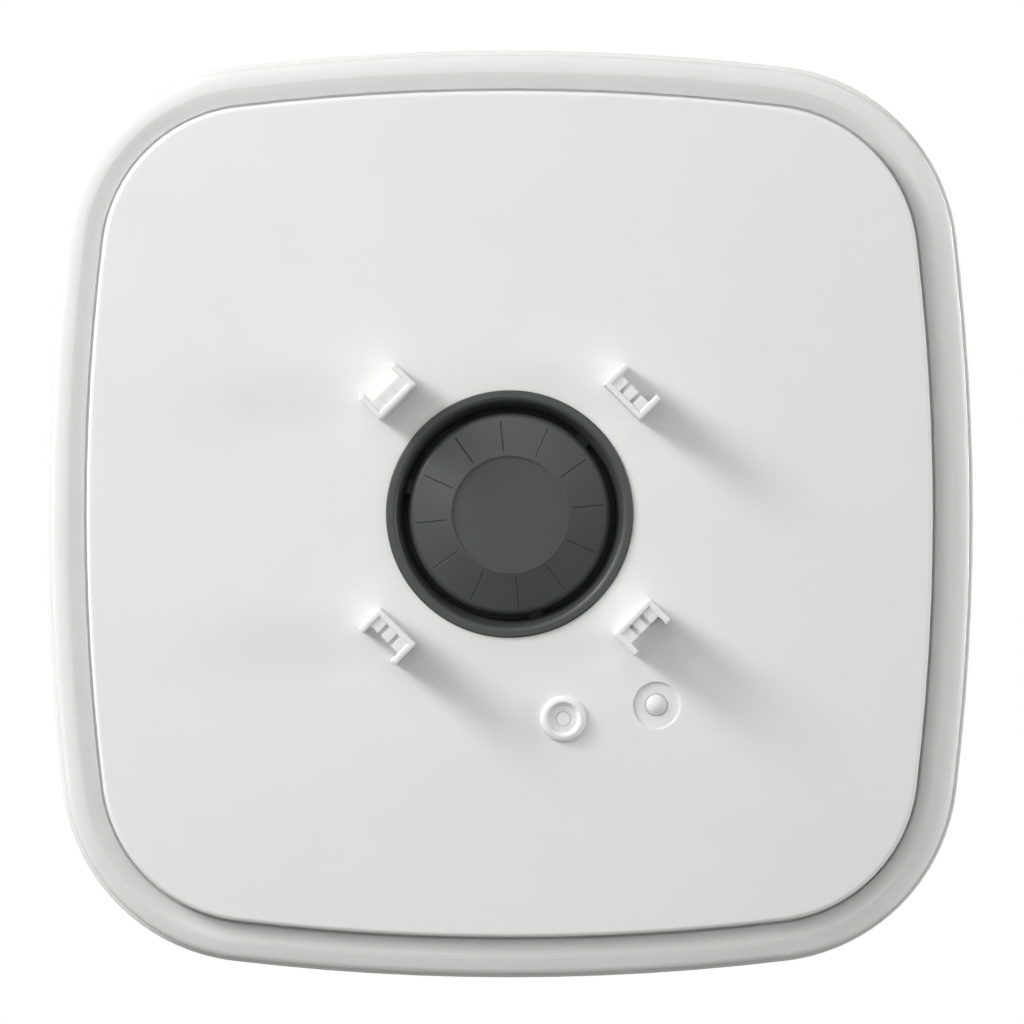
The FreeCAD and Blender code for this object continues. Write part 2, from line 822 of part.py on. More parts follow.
def bracket_holes():
    """Four countersunk holes, the cable hole, the break-off island with its own screw, and the lock hole."""
    back, front = "-past", "bracket_thickness + past"
    holes = [cylinder("bracket_cable_hole", "cable_cut_radius", "cable_x", "cable_y", back, front)]
    corners = [(way, up) for way in ("", "-") for up in ("", "-")]
    for number, (way, up) in enumerate(corners):
        x, y = f"{way}wall_screw_x", f"{up}wall_screw_y"
        sink_back = "bracket_thickness - countersink + wall_screw_hole"
        seat = cone(
            f"wall_screw_seat_{number}", "wall_screw_hole", "countersink + past", x, y,
            sink_back, f"{sink_back} + countersink - wall_screw_hole + past",
        )
        holes += [cylinder(f"wall_screw_hole_{number}", "wall_screw_hole", x, y, back, front), seat]
    ring = tube("tear_ring", "tear_radius + tear_slot", "tear_radius", "tear_x", "tear_y", back, front)
    bridge = "tear_bridge / 2"
    span = "(tear_radius + tear_slot + past)"
    level = box(
        "tear_bridge_level", f"tear_x - {span}", f"tear_x + {span}",
        f"tear_y - {bridge}", f"tear_y + {bridge}", f"{back} - past", f"{front} + past",
    )
    upright = box(
        "tear_bridge_upright", f"tear_x - {bridge}", f"tear_x + {bridge}",
        f"tear_y - {span}", f"tear_y + {span}", f"{back} - past", f"{front} + past",
    )
    holes.append(cut("tear_slots", ring, level, upright))
    tear_screw_y = "tear_y + tear_radius / 2"
    holes.append(cylinder("tear_screw_hole", "wall_screw_hole", "tear_x", tear_screw_y, back, front))
    holes.append(cylinder_y(
        "tab_hole", "lock_screw_radius + lock_hole_gap", "0", "-tab_bottom - past", f"{TAB_TOP} + past",
        "lock_depth",
    ))
    return holes


def lock_screw():
    """The screw that holds the hung siren down, put in from below, and its insert."""
    head_end = "-tab_bottom - lock_head_height"
    tip = "-tab_bottom + lock_screw_length"
    shank = cylinder_y("lock_shank", "lock_screw_radius", "0", "-tab_bottom - join", tip, "lock_depth")
    head = cylinder_y("lock_head", "lock_head_radius", "0", head_end, "-tab_bottom", "lock_depth")
    socket = cylinder_y(
        "lock_socket", "screw_socket_radius", "0", f"{head_end} - past", f"{head_end} + screw_socket_depth",
        "lock_depth",
    )
    node("lock_screw", cut("lock_screw_solid", fuse("lock_screw_blank", shank, head), socket))
    top = f"{LOCK_BOSS_BOTTOM} + insert_length"
    around = cylinder_y("insert_outer", "insert_radius", "0", LOCK_BOSS_BOTTOM, top, "lock_depth")
    bore = cylinder_y(
        "insert_bore", "lock_screw_radius + fit_gap", "0", f"{LOCK_BOSS_BOTTOM} - past", f"{top} + past",
        "lock_depth",
    )
    node("lock_insert", cut("lock_insert_ring", around, bore))


def rear_housing():
    """The deep rear shell, with the recess that takes the bracket."""
    outer = outline("housing_outer", "0", "wall_gap", "rim_depth")
    soften(outer, "rear_round", "wall_gap")
    soften(outer, "rim_round", "rim_depth")
    rebate = outline("housing_seal_rebate", "seal_inset", "rim_depth - seal_height", "rim_depth + past")
    recess = rounded_box(
        "recess", "-recess_half_width", "recess_half_width", "-recess_bottom", "recess_top", "0", RECESS,
        "recess_corner",
    )
    channel = box(
        "channel", "-channel_half_width", "channel_half_width", "-half_width - past",
        "-recess_bottom + past", "0", RECESS,
    )
    kept, drilled = housing_posts()
    holes = [
        cylinder(f"{name}_hole", f"{radius} + {gap}", f"{name}_x", f"{name}_y", "0", f"{RECESS_INNER} + past")
        for name, radius, gap in (
            ("tamper", "tamper_radius", "slide_gap"),
            ("power", "power_radius", "slide_gap"),
            ("cable", "gland_stem_radius", "fit_gap"),
            ("vent", "vent_stem_radius", "fit_gap"),
        )
    ]
    shell = cut("housing_shell", outer, housing_hollow(kept), rebate, recess, channel, *drilled, *holes)
    added = [shell]
    for number, (way, height) in enumerate(hook_places()):
        added += catch(number, way, height)
    added.append(box(
        "lock_boss", "-channel_half_width - join", "channel_half_width + join", LOCK_BOSS_BOTTOM,
        "-recess_bottom", "bracket_thickness + running_gap", f"{RECESS} + join",
    ))
    insert_hole = cylinder_y(
        "insert_hole", "insert_radius", "0", f"{LOCK_BOSS_BOTTOM} - past",
        f"{LOCK_BOSS_BOTTOM} + insert_length", "lock_depth",
    )
    tip_hole = cylinder_y(
        "lock_tip_hole", "lock_screw_radius + lock_hole_gap", "0", LOCK_BOSS_BOTTOM, "-recess_bottom + past",
        "lock_depth",
    )
    node("rear_housing", cut("housing", fuse("housing_joined", *added), insert_hole, tip_hole))


def housing_hollow(kept):
    """The room inside the shell: a lower and a wider upper part, less what stands in it."""
    lower = outline("housing_lower_hollow", "housing_wall + ledge_width", FLOOR, LEDGE)
    soften(lower, "rear_round - housing_wall - ledge_width", FLOOR)
    upper = outline("housing_upper_hollow", "housing_wall", LEDGE, "rim_depth + past")
    recess_block = rounded_box(
        "recess_block", "-recess_half_width - floor_wall", "recess_half_width + floor_wall",
        "-recess_bottom - floor_wall", "recess_top + floor_wall", "0", RECESS_INNER,
        "recess_corner + floor_wall",
    )
    channel_block = box(
        "channel_block", "-channel_half_width - floor_wall", "channel_half_width + floor_wall",
        "-half_width", "-recess_bottom", "0", RECESS_INNER,
    )
    rooms = fuse("housing_hollows", lower, upper)
    return cut("housing_hollow", rooms, recess_block, channel_block, *kept)


def housing_posts():
    """The posts that stand in the shell, and the holes that are drilled in them."""
    posts = []
    drilled = []
    for number, (x, y) in enumerate(case_screw_places()):
        posts.append(cylinder(f"case_boss_{number}", "case_boss_radius", x, y, "0", "boss_split"))
        drilled.append(cylinder(f"case_access_{number}", "case_access_radius", x, y, "0", CASE_WEB_REAR))
        drilled.append(cylinder(
            f"case_hole_{number}", "case_screw_radius + rest_gap", x, y, "0", "boss_split + past"
        ))
    for number, (x, y) in enumerate(board_screw_places()):
        posts.append(cylinder(f"standoff_{number}", "standoff_radius", x, y, "0", "board_depth"))
        drilled.append(cylinder(
            f"standoff_hole_{number}", "board_screw_radius + fit_gap", x, y,
            f"{BOARD_FRONT} - board_screw_length - tip_room", "board_depth + past",
        ))
    for number, (x, y) in enumerate(tray_screw_places()):
        posts.append(cylinder(f"tray_standoff_{number}", "standoff_radius", x, y, "0", RECESS_INNER))
        drilled.append(cylinder(
            f"tray_hole_{number}", "board_screw_radius + fit_gap", x, y,
            f"{RECESS_INNER} + tray_ear_thickness - board_screw_length - tip_room", f"{RECESS_INNER} + past",
        ))
    return posts, drilled


def catch(number, way, height):
    """A bar on two cheeks that drops behind one hook of the bracket."""
    bottom = f"{height} + hook_stem + running_gap"
    top = f"{bottom} + catch_height"
    back = "bracket_thickness + running_gap + rest_gap"
    front = "hook_depth - lip_thickness - running_gap"
    inner = "(hook_width / 2 + catch_side_gap)"
    outer = "(hook_width / 2 + catch_side_gap + catch_cheek)"
    middle = f"{way}hook_x"
    root = f"{RECESS} + join"
    return [
        box(f"catch_bar_{number}", f"{middle} - {outer}", f"{middle} + {outer}", bottom, top, back, front),
        box(f"catch_left_{number}", f"{middle} - {outer}", f"{middle} - {inner}", bottom, top, back, root),
        box(f"catch_right_{number}", f"{middle} + {inner}", f"{middle} + {outer}", bottom, top, back, root),
    ]


def perimeter_seal():
    """The flat seal in the rebate of the housing's rim."""
    around = outline("seal_outer", "seal_inset + fit_gap", "rim_depth - seal_height", "rim_depth")
    hole = outline("seal_inner", "housing_wall", "rim_depth - seal_height - past", "rim_depth + past")
    node("perimeter_seal", cut("seal_ring", around, hole))


def light_frame():
    """The translucent frame: a low shoulder outside, a crest, and a slope down to the groove by the cover."""
    outer = outline("frame_outer", "frame_inset", "rim_depth", "crest_depth")
    slope(outer, "shoulder_width", "shoulder_drop", "crest_depth")
    soften(outer, "crest_round", "crest_depth - shoulder_drop")
    slope_foot = "crest_depth - slope_drop"
    dip = outline("frame_dip", f"{FRAME_EDGE} - slope_width", slope_foot, "crest_depth + past")
    slope(dip, "slope_width", "slope_drop", slope_foot)
    seat = outline("frame_seat", FRAME_EDGE, SEAT, "crest_depth + past")
    under = outline("frame_under", "frame_inset + frame_wall", "rim_depth - past", f"{FLANGE_BACK} + past")
    soften(under, "frame_wall", f"{FLANGE_BACK} + past")
    flange_block = outline("frame_flange_block", FRAME_EDGE, FLANGE_BACK, f"{SEAT} + past")
    window = outline("frame_window", "flange_inset", "rim_depth - past", "cover_front")
    channel = cut("frame_channel", under, flange_block)
    node("light_frame", cut("frame", outer, dip, seat, channel, window))


def light_reflector():
    """The white tray under the light frame that carries the light boards."""
    front = f"{LEDGE} + reflector_thickness"
    base = cut(
        "reflector_base",
        outline("reflector_outer", "housing_wall + reflector_gap", LEDGE, front),
        outline("reflector_inside", "reflector_inner", f"{LEDGE} - past", f"{front} + past"),
    )
    wall = cut(
        "reflector_wall_ring",
        outline("reflector_wall_outer", "reflector_inner - reflector_wall", LEDGE, FLANGE_BACK),
        outline("reflector_wall_inner", "reflector_inner", f"{LEDGE} - past", f"{FLANGE_BACK} + past"),
    )
    node("light_reflector", fuse("reflector", base, wall))


def light_boards():
    """Four straight light boards and their light chips, one pair to a side."""
    back = f"{LEDGE} + reflector_thickness"
    front = f"{back} + light_board_thickness"
    high = "half_width - light_board_inset"
    low = f"{high} - light_board_width"
    middle = f"{high} - light_board_width / 2"
    half = "light_board_length / 2"
    half_chip = "chip_size / 2"
    for turn, side in enumerate(("top", "left", "bottom", "right")):
        board = box(f"light_board_{side}_strip", f"-{half}", half, low, high, back, front)
        node(f"light_board_{side}", turned(f"light_board_{side}_turn", 90 * turn, board))
        chips = []
        for number in range(CHIPS_PER_BOARD):
            x = f"{number - (CHIPS_PER_BOARD - 1) // 2} * chip_pitch"
            chips.append(box(
                f"light_chip_{side}_{number}", f"{x} - {half_chip}", f"{x} + {half_chip}",
                f"{middle} - {half_chip}", f"{middle} + {half_chip}", front, f"{front} + chip_height",
            ))
        node(f"light_chips_{side}", turned(f"light_chips_{side}_turn", 90 * turn, *chips))


def clip_post(name):
    """One U-shaped post with a notched block inside, drawn on the +x axis and open away from the middle."""
    inside = "(post_radius - post_depth / 2)"
    outside = "(post_radius + post_depth / 2)"
    half = "post_width / 2"
    foot = "cover_front - join"
    top = "cover_front + post_height"
    block = box(f"{name}_block", inside, outside, f"-{half}", half, foot, top)
    channel = box(
        f"{name}_channel", f"{inside} + post_wall", f"{outside} + past", f"-{half} + post_wall",
        f"{half} - post_wall", "cover_front", f"{top} + past",
    )
    shell = rounded(f"{name}_tips", cut(f"{name}_shell", block, channel), "post_tip_round", post_tip)
    side = f"({half} - post_wall + rib_root)"
    rib_top = f"{top} - rib_top_drop"
    rib_inside = f"{inside} + post_wall - rib_root"
    rib_outside = f"{inside} + rib_reach"
    ribs = box(f"{name}_ribs", rib_inside, rib_outside, f"-{side}", side, foot, rib_top)
    spans = [("rib_half", "rib_half + rib_slot"), ("-rib_half - rib_slot", "-rib_half")]
    notches = [
        box(
            f"{name}_notch_{number}", f"{rib_inside} - past", f"{rib_outside} + past", low, high,
            f"{rib_top} - rib_notch", f"{rib_top} + past",
        )
        for number, (low, high) in enumerate(spans)
    ]
    return fuse(name, shell, cut(f"{name}_notched", ribs, *notches))


def post_tip(edge):
    """Picks a post's tip edges and the upright corners of its back wall and leg ends."""
    limits = edge.BoundBox
    top = value("cover_front + post_height")
    at_tip = abs(limits.ZMin - top) < TINY and abs(limits.ZMax - top) < TINY
    outer_side = abs(abs(limits.YMin) - value("post_width / 2")) < TINY
    return at_tip or (standing(edge) and outer_side)


def clip_posts():
    """Four posts on the diagonals; the lower right one stands aside, so the cap fits one way only."""
    posts = [
        turned(f"clip_post_turn_{angle}", angle, clip_post(f"clip_post_{angle}"))
        for angle in (45, 135, 225)
    ]
    keyed = turned("clip_post_turn_315", 315, clip_post("clip_post_315"))
    turn = Rotation(Vector(0, 0, 1), 315)
    keyed.Placement = Placement(turn.multVec(Vector(0, value("post_shift"), 0)), turn)
    return [*posts, keyed]


def front_cover():
    """The white front plate with its clip posts, ring boss and screw bosses."""
    slab = outline("cover_slab", "band_width", SEAT, "cover_front")
    soften(slab, "cover_edge_round", "cover_front")
    pocket = outline("cover_pocket", f"{SKIRT_INSET} + skirt_width", f"{SEAT} - past", COVER_BACK)
    skirt = cut(
        "cover_skirt",
        outline("skirt_outer", SKIRT_INSET, f"{FLANGE_BACK} + skirt_gap", f"{SEAT} + join"),
        outline("skirt_inner", f"{SKIRT_INSET} + skirt_width", FLANGE_BACK, f"{SEAT} + past"),
    )
    ring = cylinder("ring_boss_block", "ring_radius", "pipe_x", "pipe_y", "cover_front - join", RING_TOP)
    ring_boss = rounded("ring_boss", ring, "ring_round", at_depth(RING_TOP))
    bosses, drilled = cover_bosses()
    holes = [
        cylinder("cover_horn_hole", "barrel_radius + rest_gap", "0", "0", "0", "cover_front + past"),
        cone("ring_dish", "dish_floor_radius", "dish_radius", "pipe_x", "pipe_y", DISH_FLOOR, RING_TOP),
        cylinder("pipe_hole", "pipe_radius + fit_gap", "pipe_x", "pipe_y", "board_depth", RING_TOP),
        cylinder(
            "dome_recess", "dome_recess_radius", "dome_x", "dome_y", "cover_front - dome_recess",
            "cover_front + past",
        ),
        cylinder("dome_hole", "dome_radius + slide_gap", "dome_x", "dome_y", "board_depth", "cover_front"),
    ]
    plate = cut("cover_plate", slab, pocket)
    whole = fuse("cover_solid", plate, skirt, ring_boss, *bosses, *clip_posts())
    node("front_cover", cut("cover", whole, *holes, *drilled))


def cover_bosses():
    """The bosses behind the plate that take the case screws and the siren driver's screws."""
    front = f"{COVER_BACK} + join"
    bosses = []
    drilled = []
    tip = f"{CASE_WEB_REAR} + case_screw_length + tip_room"
    for number, (x, y) in enumerate(case_screw_places()):
        bosses.append(cylinder(f"cover_boss_{number}", "cover_boss_radius", x, y, "boss_split", front))
        drilled.append(cylinder(
            f"cover_boss_hole_{number}", "case_screw_radius + fit_gap", x, y, "boss_split - past", tip
        ))
    tip = f"{CHAMBER_FRONT} - ear_thickness + chamber_screw_length + tip_room"
    for angle in EAR_ANGLES:
        boss = cylinder(f"driver_boss_{angle}", "cover_boss_radius", EAR_RING, "0", CHAMBER_FRONT, front)
        bosses.append(turned(f"driver_boss_turn_{angle}", angle, boss))
        hole = cylinder(
            f"driver_hole_{angle}", "case_screw_radius + fit_gap", EAR_RING, "0",
            f"{CHAMBER_FRONT} - past", tip,
        )
        drilled.append(turned(f"driver_hole_turn_{angle}", angle, hole))
    return bosses, drilled


def horn_bezel():
    """The dark lip, flared mouth and barrel of the horn, with the spider that carries the cap."""
    lip_top = "cover_front + lip_height"
    lip = cylinder("bezel_lip", LIP_RADIUS, "0", "0", "cover_front", lip_top)
    barrel = cylinder("bezel_barrel", "barrel_radius", "0", "0", "barrel_rear", lip_top)
    bore = cylinder("bezel_bore", BORE_RADIUS, "0", "0", "0", f"{lip_top} + past")
    mouth = f"{BORE_RADIUS} + flare_width * (flare_depth + past) / flare_depth"
    flare = cone("bezel_flare", BORE_RADIUS, mouth, "0", "0", f"{lip_top} - flare_depth", f"{lip_top} + past")
    ring = cut("bezel_ring", fuse("bezel_blank", lip, barrel), bore, flare)
    top = at_depth(lip_top)

    def on_mouth(edge):
        return edge.BoundBox.XLength / 2 < value("barrel_radius")

    def on_lip(edge):
        return not on_mouth(edge)

    inner = rounded("bezel_inner_round", ring, "lip_inner_round", top, on_mouth)
    outer = rounded("bezel_outer_round", inner, "lip_outer_round", top, on_lip)
    spokes = []
    for angle in SPOKE_ANGLES:
        spoke = box(
            f"spoke_{angle}", "hub_radius - join", f"{BORE_RADIUS} + join", "-spoke_width / 2",
            "spoke_width / 2", "spoke_depth", "spoke_depth + spoke_height",
        )
        spokes.append(turned(f"spoke_turn_{angle}", angle, spoke))
    hub = cylinder("bezel_hub", "hub_radius", "0", "0", "spoke_depth", "spoke_depth + hub_height")
    stem_hole = cylinder("hub_hole", "stem_radius + fit_gap", "0", "0", "0", "cover_front")
    node("horn_bezel", cut("bezel", fuse("bezel_solid", outer, hub, *spokes), stem_hole))


def horn_cap():
    """The shallow cone in the middle of the horn, with twelve radial grooves."""
    cone_foot = "(cap_top - cone_drop)"
    slant = cone("cap_cone", CAP_RADIUS, "cap_flat_radius", "0", "0", cone_foot, "cap_top")
    skirt = cylinder("cap_skirt", CAP_RADIUS, "0", "0", f"{cone_foot} - cap_skirt", cone_foot)
    blank = rounded("cap_blank", fuse("cap_joined", slant, skirt), "cap_edge_round", at_depth(cone_foot))
    hollow = cylinder(
        "cap_hollow", f"{CAP_RADIUS} - cap_wall", "0", "0", f"{cone_foot} - cap_skirt - past",
        f"{cone_foot} - cap_wall",
    )
    disc = cylinder(
        "cap_disc", "cap_flat_radius - cap_disc_rim", "0", "0", "cap_top - cap_disc_drop", "cap_top + past"
    )
    stem = cylinder("cap_stem", "stem_radius", "0", "0", "spoke_depth", f"{cone_foot} - cap_wall + join")
    shell = fuse("cap_solid", cut("cap_shell", blank, hollow, disc), stem)
    node("horn_cap", cut("cap", shell, *cap_grooves()))


def cap_grooves():
    """Twelve V grooves laid along the slant of the cap's cone, drawn as blocks on edge."""
    slant = value(f"cone_drop / ({CAP_RADIUS} - cap_flat_radius)")
    start = value("cap_flat_radius + groove_inner_gap")
    end = value(f"{CAP_RADIUS} - groove_outer_gap")
    depth = value("cap_top - groove_depth") - slant * value("groove_inner_gap")
    tilt = math.atan(slant)
    grooves = []
    for number in range(CAP_GROOVES):
        around = Rotation(Vector(0, 0, 1), CAP_GROOVE_PHASE + number * 360 / CAP_GROOVES)
        lean = Rotation(Vector(0, 1, 0), math.degrees(tilt))
        on_edge = Rotation(Vector(1, 0, 0), 45)
        slot = doc.addObject("Part::Box", f"cap_groove_{number}")
        slot.Length = (end - start) / math.cos(tilt)
        slot.setExpression("Width", bound("groove_side"))
        slot.setExpression("Height", bound("groove_side"))
        slot.Placement = Placement(around.multVec(Vector(start, 0, depth)), around * lean * on_edge)
        grooves.append(slot)
    return grooves


def siren_driver():
    """The sounder behind the horn: gasket, membrane, chamber, brass plate, ceramic and screws."""
    node("horn_gasket", tube(
        "gasket", "barrel_radius + gasket_width", "barrel_radius + rest_gap", "0", "0",
        f"{COVER_BACK} - gasket_thickness", COVER_BACK,
    ))
    node("acoustic_membrane", cylinder(
        "membrane", "barrel_radius - membrane_inset", "0", "0", CHAMBER_FRONT, "barrel_rear"
    ))
    pieces = [cylinder("chamber_blank", CHAMBER_RADIUS, "0", "0", "chamber_rear", CHAMBER_FRONT)]
    rear_air = f"({CHAMBER_BORE} - plate_ledge)"
    slot_back = f"{PLATE_REST} + lead_slot_rise"
    voids = [
        cylinder("chamber_front_air", CHAMBER_BORE, "0", "0", PLATE_REST, "cover_front"),
        cylinder("chamber_rear_air", rear_air, "0", "0", "chamber_rear + chamber_floor", "cover_front"),
        box(
            "chamber_lead_slot", "piezo_lead_x - lead_slot_width / 2", "piezo_lead_x + lead_slot_width / 2",
            f"-{CHAMBER_RADIUS} - past", f"-{rear_air}", slot_back, f"{slot_back} + lead_slot_height",
        ),
    ]
    ear_rear = f"{CHAMBER_FRONT} - ear_thickness"
    screws = []
    for angle in EAR_ANGLES:
        tip = cylinder(f"ear_tip_{angle}", "ear_radius", EAR_RING, "0", ear_rear, CHAMBER_FRONT)
        web = box(
            f"ear_web_{angle}", f"{CHAMBER_RADIUS} - chamber_wall / 2", EAR_RING, "-ear_radius", "ear_radius",
            ear_rear, CHAMBER_FRONT,
        )
        pieces.append(turned(f"ear_turn_{angle}", angle, fuse(f"ear_{angle}", tip, web)))
        bolt_hole = "case_screw_radius + rest_gap"
        hole = cylinder(f"ear_hole_{angle}", bolt_hole, EAR_RING, "0", "0", "cover_front")
        voids.append(turned(f"ear_hole_turn_{angle}", angle, hole))
        bolt = screw(f"chamber_screw_{angle}", "case", EAR_RING, "0", ear_rear, "chamber_screw_length", True)
        screws.append(turned(f"chamber_screw_turn_{angle}", angle, bolt))
    node("siren_chamber", cut("chamber", fuse("chamber_solid", *pieces), *voids))
    node("chamber_screws", *screws)
    plate_front = f"{PLATE_REST} + piezo_thickness"
    node("piezo_plate", cylinder(
        "brass_disc", f"{CHAMBER_BORE} - piezo_gap", "0", "0", PLATE_REST, plate_front
    ))
    node("piezo_ceramic", cylinder(
        "ceramic_disc", "ceramic_radius", "0", "0", plate_front, f"{plate_front} + ceramic_thickness"
    ))
    piezo_leads()


def piezo_leads():
    """Two wires from the sounder, out of the chamber's slot and down to the back of the board."""
    depth = value(f"{PLATE_REST} + lead_slot_rise + lead_slot_height / 2")
    radius = value("piezo_lead_radius")
    board_rear = value("board_depth - piezo_lead_radius - fit_gap")
    inside = -value(f"{CHAMBER_BORE} - lead_tail")
    outside = -value(f"{CHAMBER_RADIUS} + lead_bend_gap")
    end = value("board_top - lead_land")
    for colour, side in (("red", 0.5), ("black", -0.5)):
        x = value("piezo_lead_x") + side * value("piezo_lead_pitch")
        points = [(x, inside, depth), (x, outside, depth), (x, end, board_rear)]
        node(f"piezo_lead_{colour}", lead(f"piezo_wire_{colour}", points, radius))


def on_board(name, x, rise, width, length, height, lift="0"):
    """A block on the board's front face; rise is how far it starts above the board's lower edge."""
    back = f"{BOARD_FRONT} + {lift}"
    low = f"{BOARD_BOTTOM} + {rise}"
    left, right = f"{x} - {width} / 2", f"{x} + {width} / 2"
    return box(name, left, right, low, f"{low} + {length}", back, f"{back} + {height}")


def main_board():
    """The circuit board, its screws and the parts soldered to it."""
    plate = box(
        "board_plate", f"-{BOARD_SIDE}", BOARD_SIDE, BOARD_BOTTOM, "board_top", "board_depth", BOARD_FRONT
    )
    holes = []
    screws = []
    for number, (x, y) in enumerate(board_screw_places()):
        bolt_hole = "board_screw_radius + rest_gap"
        holes.append(cylinder(f"board_hole_{number}", bolt_hole, x, y, "0", "cover_front"))
        screws.append(screw(f"board_screw_{number}", "board", x, y, BOARD_FRONT, "board_screw_length", False))
    seat = f"{RECESS_INNER} + tray_ear_thickness"
    for number, (x, y) in enumerate(tray_screw_places()):
        screws.append(screw(f"tray_screw_{number}", "board", x, y, seat, "board_screw_length", False))
    node("main_board", cut("board", plate, *holes))
    node("board_screws", *screws)
    can = on_board("shield_can", "shield_x", "shield_rise", "shield_width", "shield_length", "shield_height")
    node("radio_shield", rounded("shield_rounded", can, "shield_round", standing))
    node("processor_chip", on_board(
        "processor", "processor_x", "processor_rise", "processor_size", "processor_size", "processor_height"
    ))
    transformer()
    storage_capacitor()
    terminal_block()
    antennas()
    socket_top = "board_top - connector_drop"
    node("battery_connector", box(
        "battery_socket", "connector_x - connector_width / 2", "connector_x + connector_width / 2",
        f"{socket_top} - connector_length", socket_top, BOARD_FRONT, f"{BOARD_FRONT} + connector_height",
    ))
    light_pipe()


def light_pipe():
    """The indicator lamp on the board and the rod that brings its light to the ring boss."""
    half = "lamp_size / 2"
    lamp_top = f"{BOARD_FRONT} + lamp_height"
    node("indicator_lamp", box(
        "lamp_block", f"pipe_x - {half}", f"pipe_x + {half}", f"pipe_y - {half}", f"pipe_y + {half}",
        BOARD_FRONT, lamp_top,
    ))
    flange_back = f"{COVER_BACK} - pipe_flange"
    node("light_pipe", fuse(
        "pipe",
        cylinder("pipe_rod", "pipe_radius", "pipe_x", "pipe_y", f"{lamp_top} + running_gap", DISH_FLOOR),
        cylinder("pipe_collar", "pipe_flange_radius", "pipe_x", "pipe_y", flange_back, COVER_BACK),
    ))


def transformer():
    """The step-up transformer that drives the sounder: a wound bobbin between two core plates."""
    x, rise, width, length = "transformer_x", "transformer_rise", "transformer_width", "transformer_length"
    foot = on_board("bobbin_foot", x, rise, width, length, "transformer_foot")
    winding = on_board(
        "bobbin", x, rise, f"({width} - 2 * core_thickness)", length,
        "(winding_top - transformer_foot + join)", "(transformer_foot - join)",
    )
    core_rise = f"{rise} + core_margin"
    core_length = f"{length} - 2 * core_margin"
    core = on_board(
        "core_block", x, core_rise, width, core_length, "(transformer_height - transformer_foot + join)",
        "(transformer_foot - join)",
    )
    node("step_up_transformer", fuse("transformer", winding, foot, core))


def storage_capacitor():
    """A can lying along the board, with its seal end towards the transformer."""
    y = f"{BOARD_BOTTOM} + capacitor_rise"
    depth = f"{BOARD_FRONT} + capacitor_radius"
    start = "capacitor_start - capacitor_seal"
    can = cylinder_x("capacitor_can", "capacitor_radius", "capacitor_start", "capacitor_end", y, depth)
    seal = cylinder_x("capacitor_seal", "capacitor_seal_radius", start, "capacitor_start + join", y, depth)
    node("storage_capacitor", fuse("capacitor", can, seal))


def terminal_block():
    """The two-way screw terminal for an outside supply."""
    block = on_board(
        "terminal_body", "terminal_x", "terminal_rise", "terminal_width", "terminal_length", "terminal_height"
    )
    floor = f"{BOARD_FRONT} + terminal_well_floor"
    head_top = f"{floor} + terminal_screw_height"
    middle = f"({BOARD_BOTTOM} + terminal_rise + terminal_length / 2)"
    entry_depth = f"{BOARD_FRONT} + terminal_entry_height"
    slot_half = "terminal_slot_width / 2"
    wells = []
    screws = []
    for side in ("-", "+"):
        number = len(screws)
        x = f"(terminal_x {side} terminal_pitch / 2)"
        wells.append(cylinder(
            f"terminal_well_{number}", "terminal_well_radius", x, middle, floor,
            f"{BOARD_FRONT} + terminal_height + past",
        ))
        wells.append(cylinder_y(
            f"terminal_entry_{number}", "terminal_entry_radius", x, BOARD_BOTTOM,
            f"{BOARD_BOTTOM} + terminal_entry_length", entry_depth,
        ))
        head = cylinder(f"terminal_screw_{number}", "terminal_screw_radius", x, middle, floor, head_top)
        slot = box(
            f"terminal_slot_{number}", f"{x} - terminal_well_radius", f"{x} + terminal_well_radius",
            f"{middle} - {slot_half}", f"{middle} + {slot_half}",
            f"{head_top} - terminal_slot_depth", f"{head_top} + past",
        )
        screws.append(cut(f"terminal_screw_slotted_{number}", head, slot))
    node("terminal_block", cut("terminal", block, *wells))
    node("terminal_screws", *screws)


def antennas():
    """Two bent metal strips at the ends of the board."""
    low = f"{BOARD_BOTTOM} + board_screw_inset + antenna_end_gap"
    high = "board_top - board_screw_inset - antenna_end_gap"
    foot_low = f"({BOARD_BOTTOM} + board_top - antenna_foot_width) / 2"
    front = f"{BOARD_FRONT} + antenna_height"
    outer = f"({BOARD_SIDE} - antenna_inset)"
    inner = f"({BOARD_SIDE} - antenna_inset - antenna_thickness)"
    foot_end = f"({BOARD_SIDE} - antenna_inset - antenna_thickness - antenna_foot_reach)"
    for side, way in (("left", "-"), ("right", "")):
        blade_x = sorted((f"{way}{inner}", f"{way}{outer}"), key=value)
        foot_x = sorted((f"{way}{foot_end}", f"{way}{inner}"), key=value)
        blade = box(f"antenna_blade_{side}", *blade_x, low, high, BOARD_FRONT, front)
        foot = box(
            f"antenna_foot_{side}", *foot_x, foot_low, f"{foot_low} + antenna_foot_width", BOARD_FRONT,
            f"{BOARD_FRONT} + antenna_thickness",
        )
        node(f"antenna_{side}", fuse(f"antenna_{side}_strip", blade, foot))


def switch(name, x, y, on_front):
    """A small push switch on one face of the board."""
    half = "switch_size / 2"
    if on_front:
        body_back, body_front = BOARD_FRONT, f"{BOARD_FRONT} + switch_height"
        stem_back, stem_front = f"{body_front} - join", f"{body_front} + switch_stem"
    else:
        body_back, body_front = "board_depth - switch_height", "board_depth"
        stem_back, stem_front = f"{body_back} - switch_stem", f"{body_back} + join"
    sides = (f"{x} - {half}", f"{x} + {half}", f"{y} - {half}", f"{y} + {half}")
    body = box(f"{name}_body", *sides, body_back, body_front)
    stem = cylinder(f"{name}_stem", "switch_stem_radius", x, y, stem_back, stem_front)
    node(name, fuse(f"{name}_solid", body, stem))


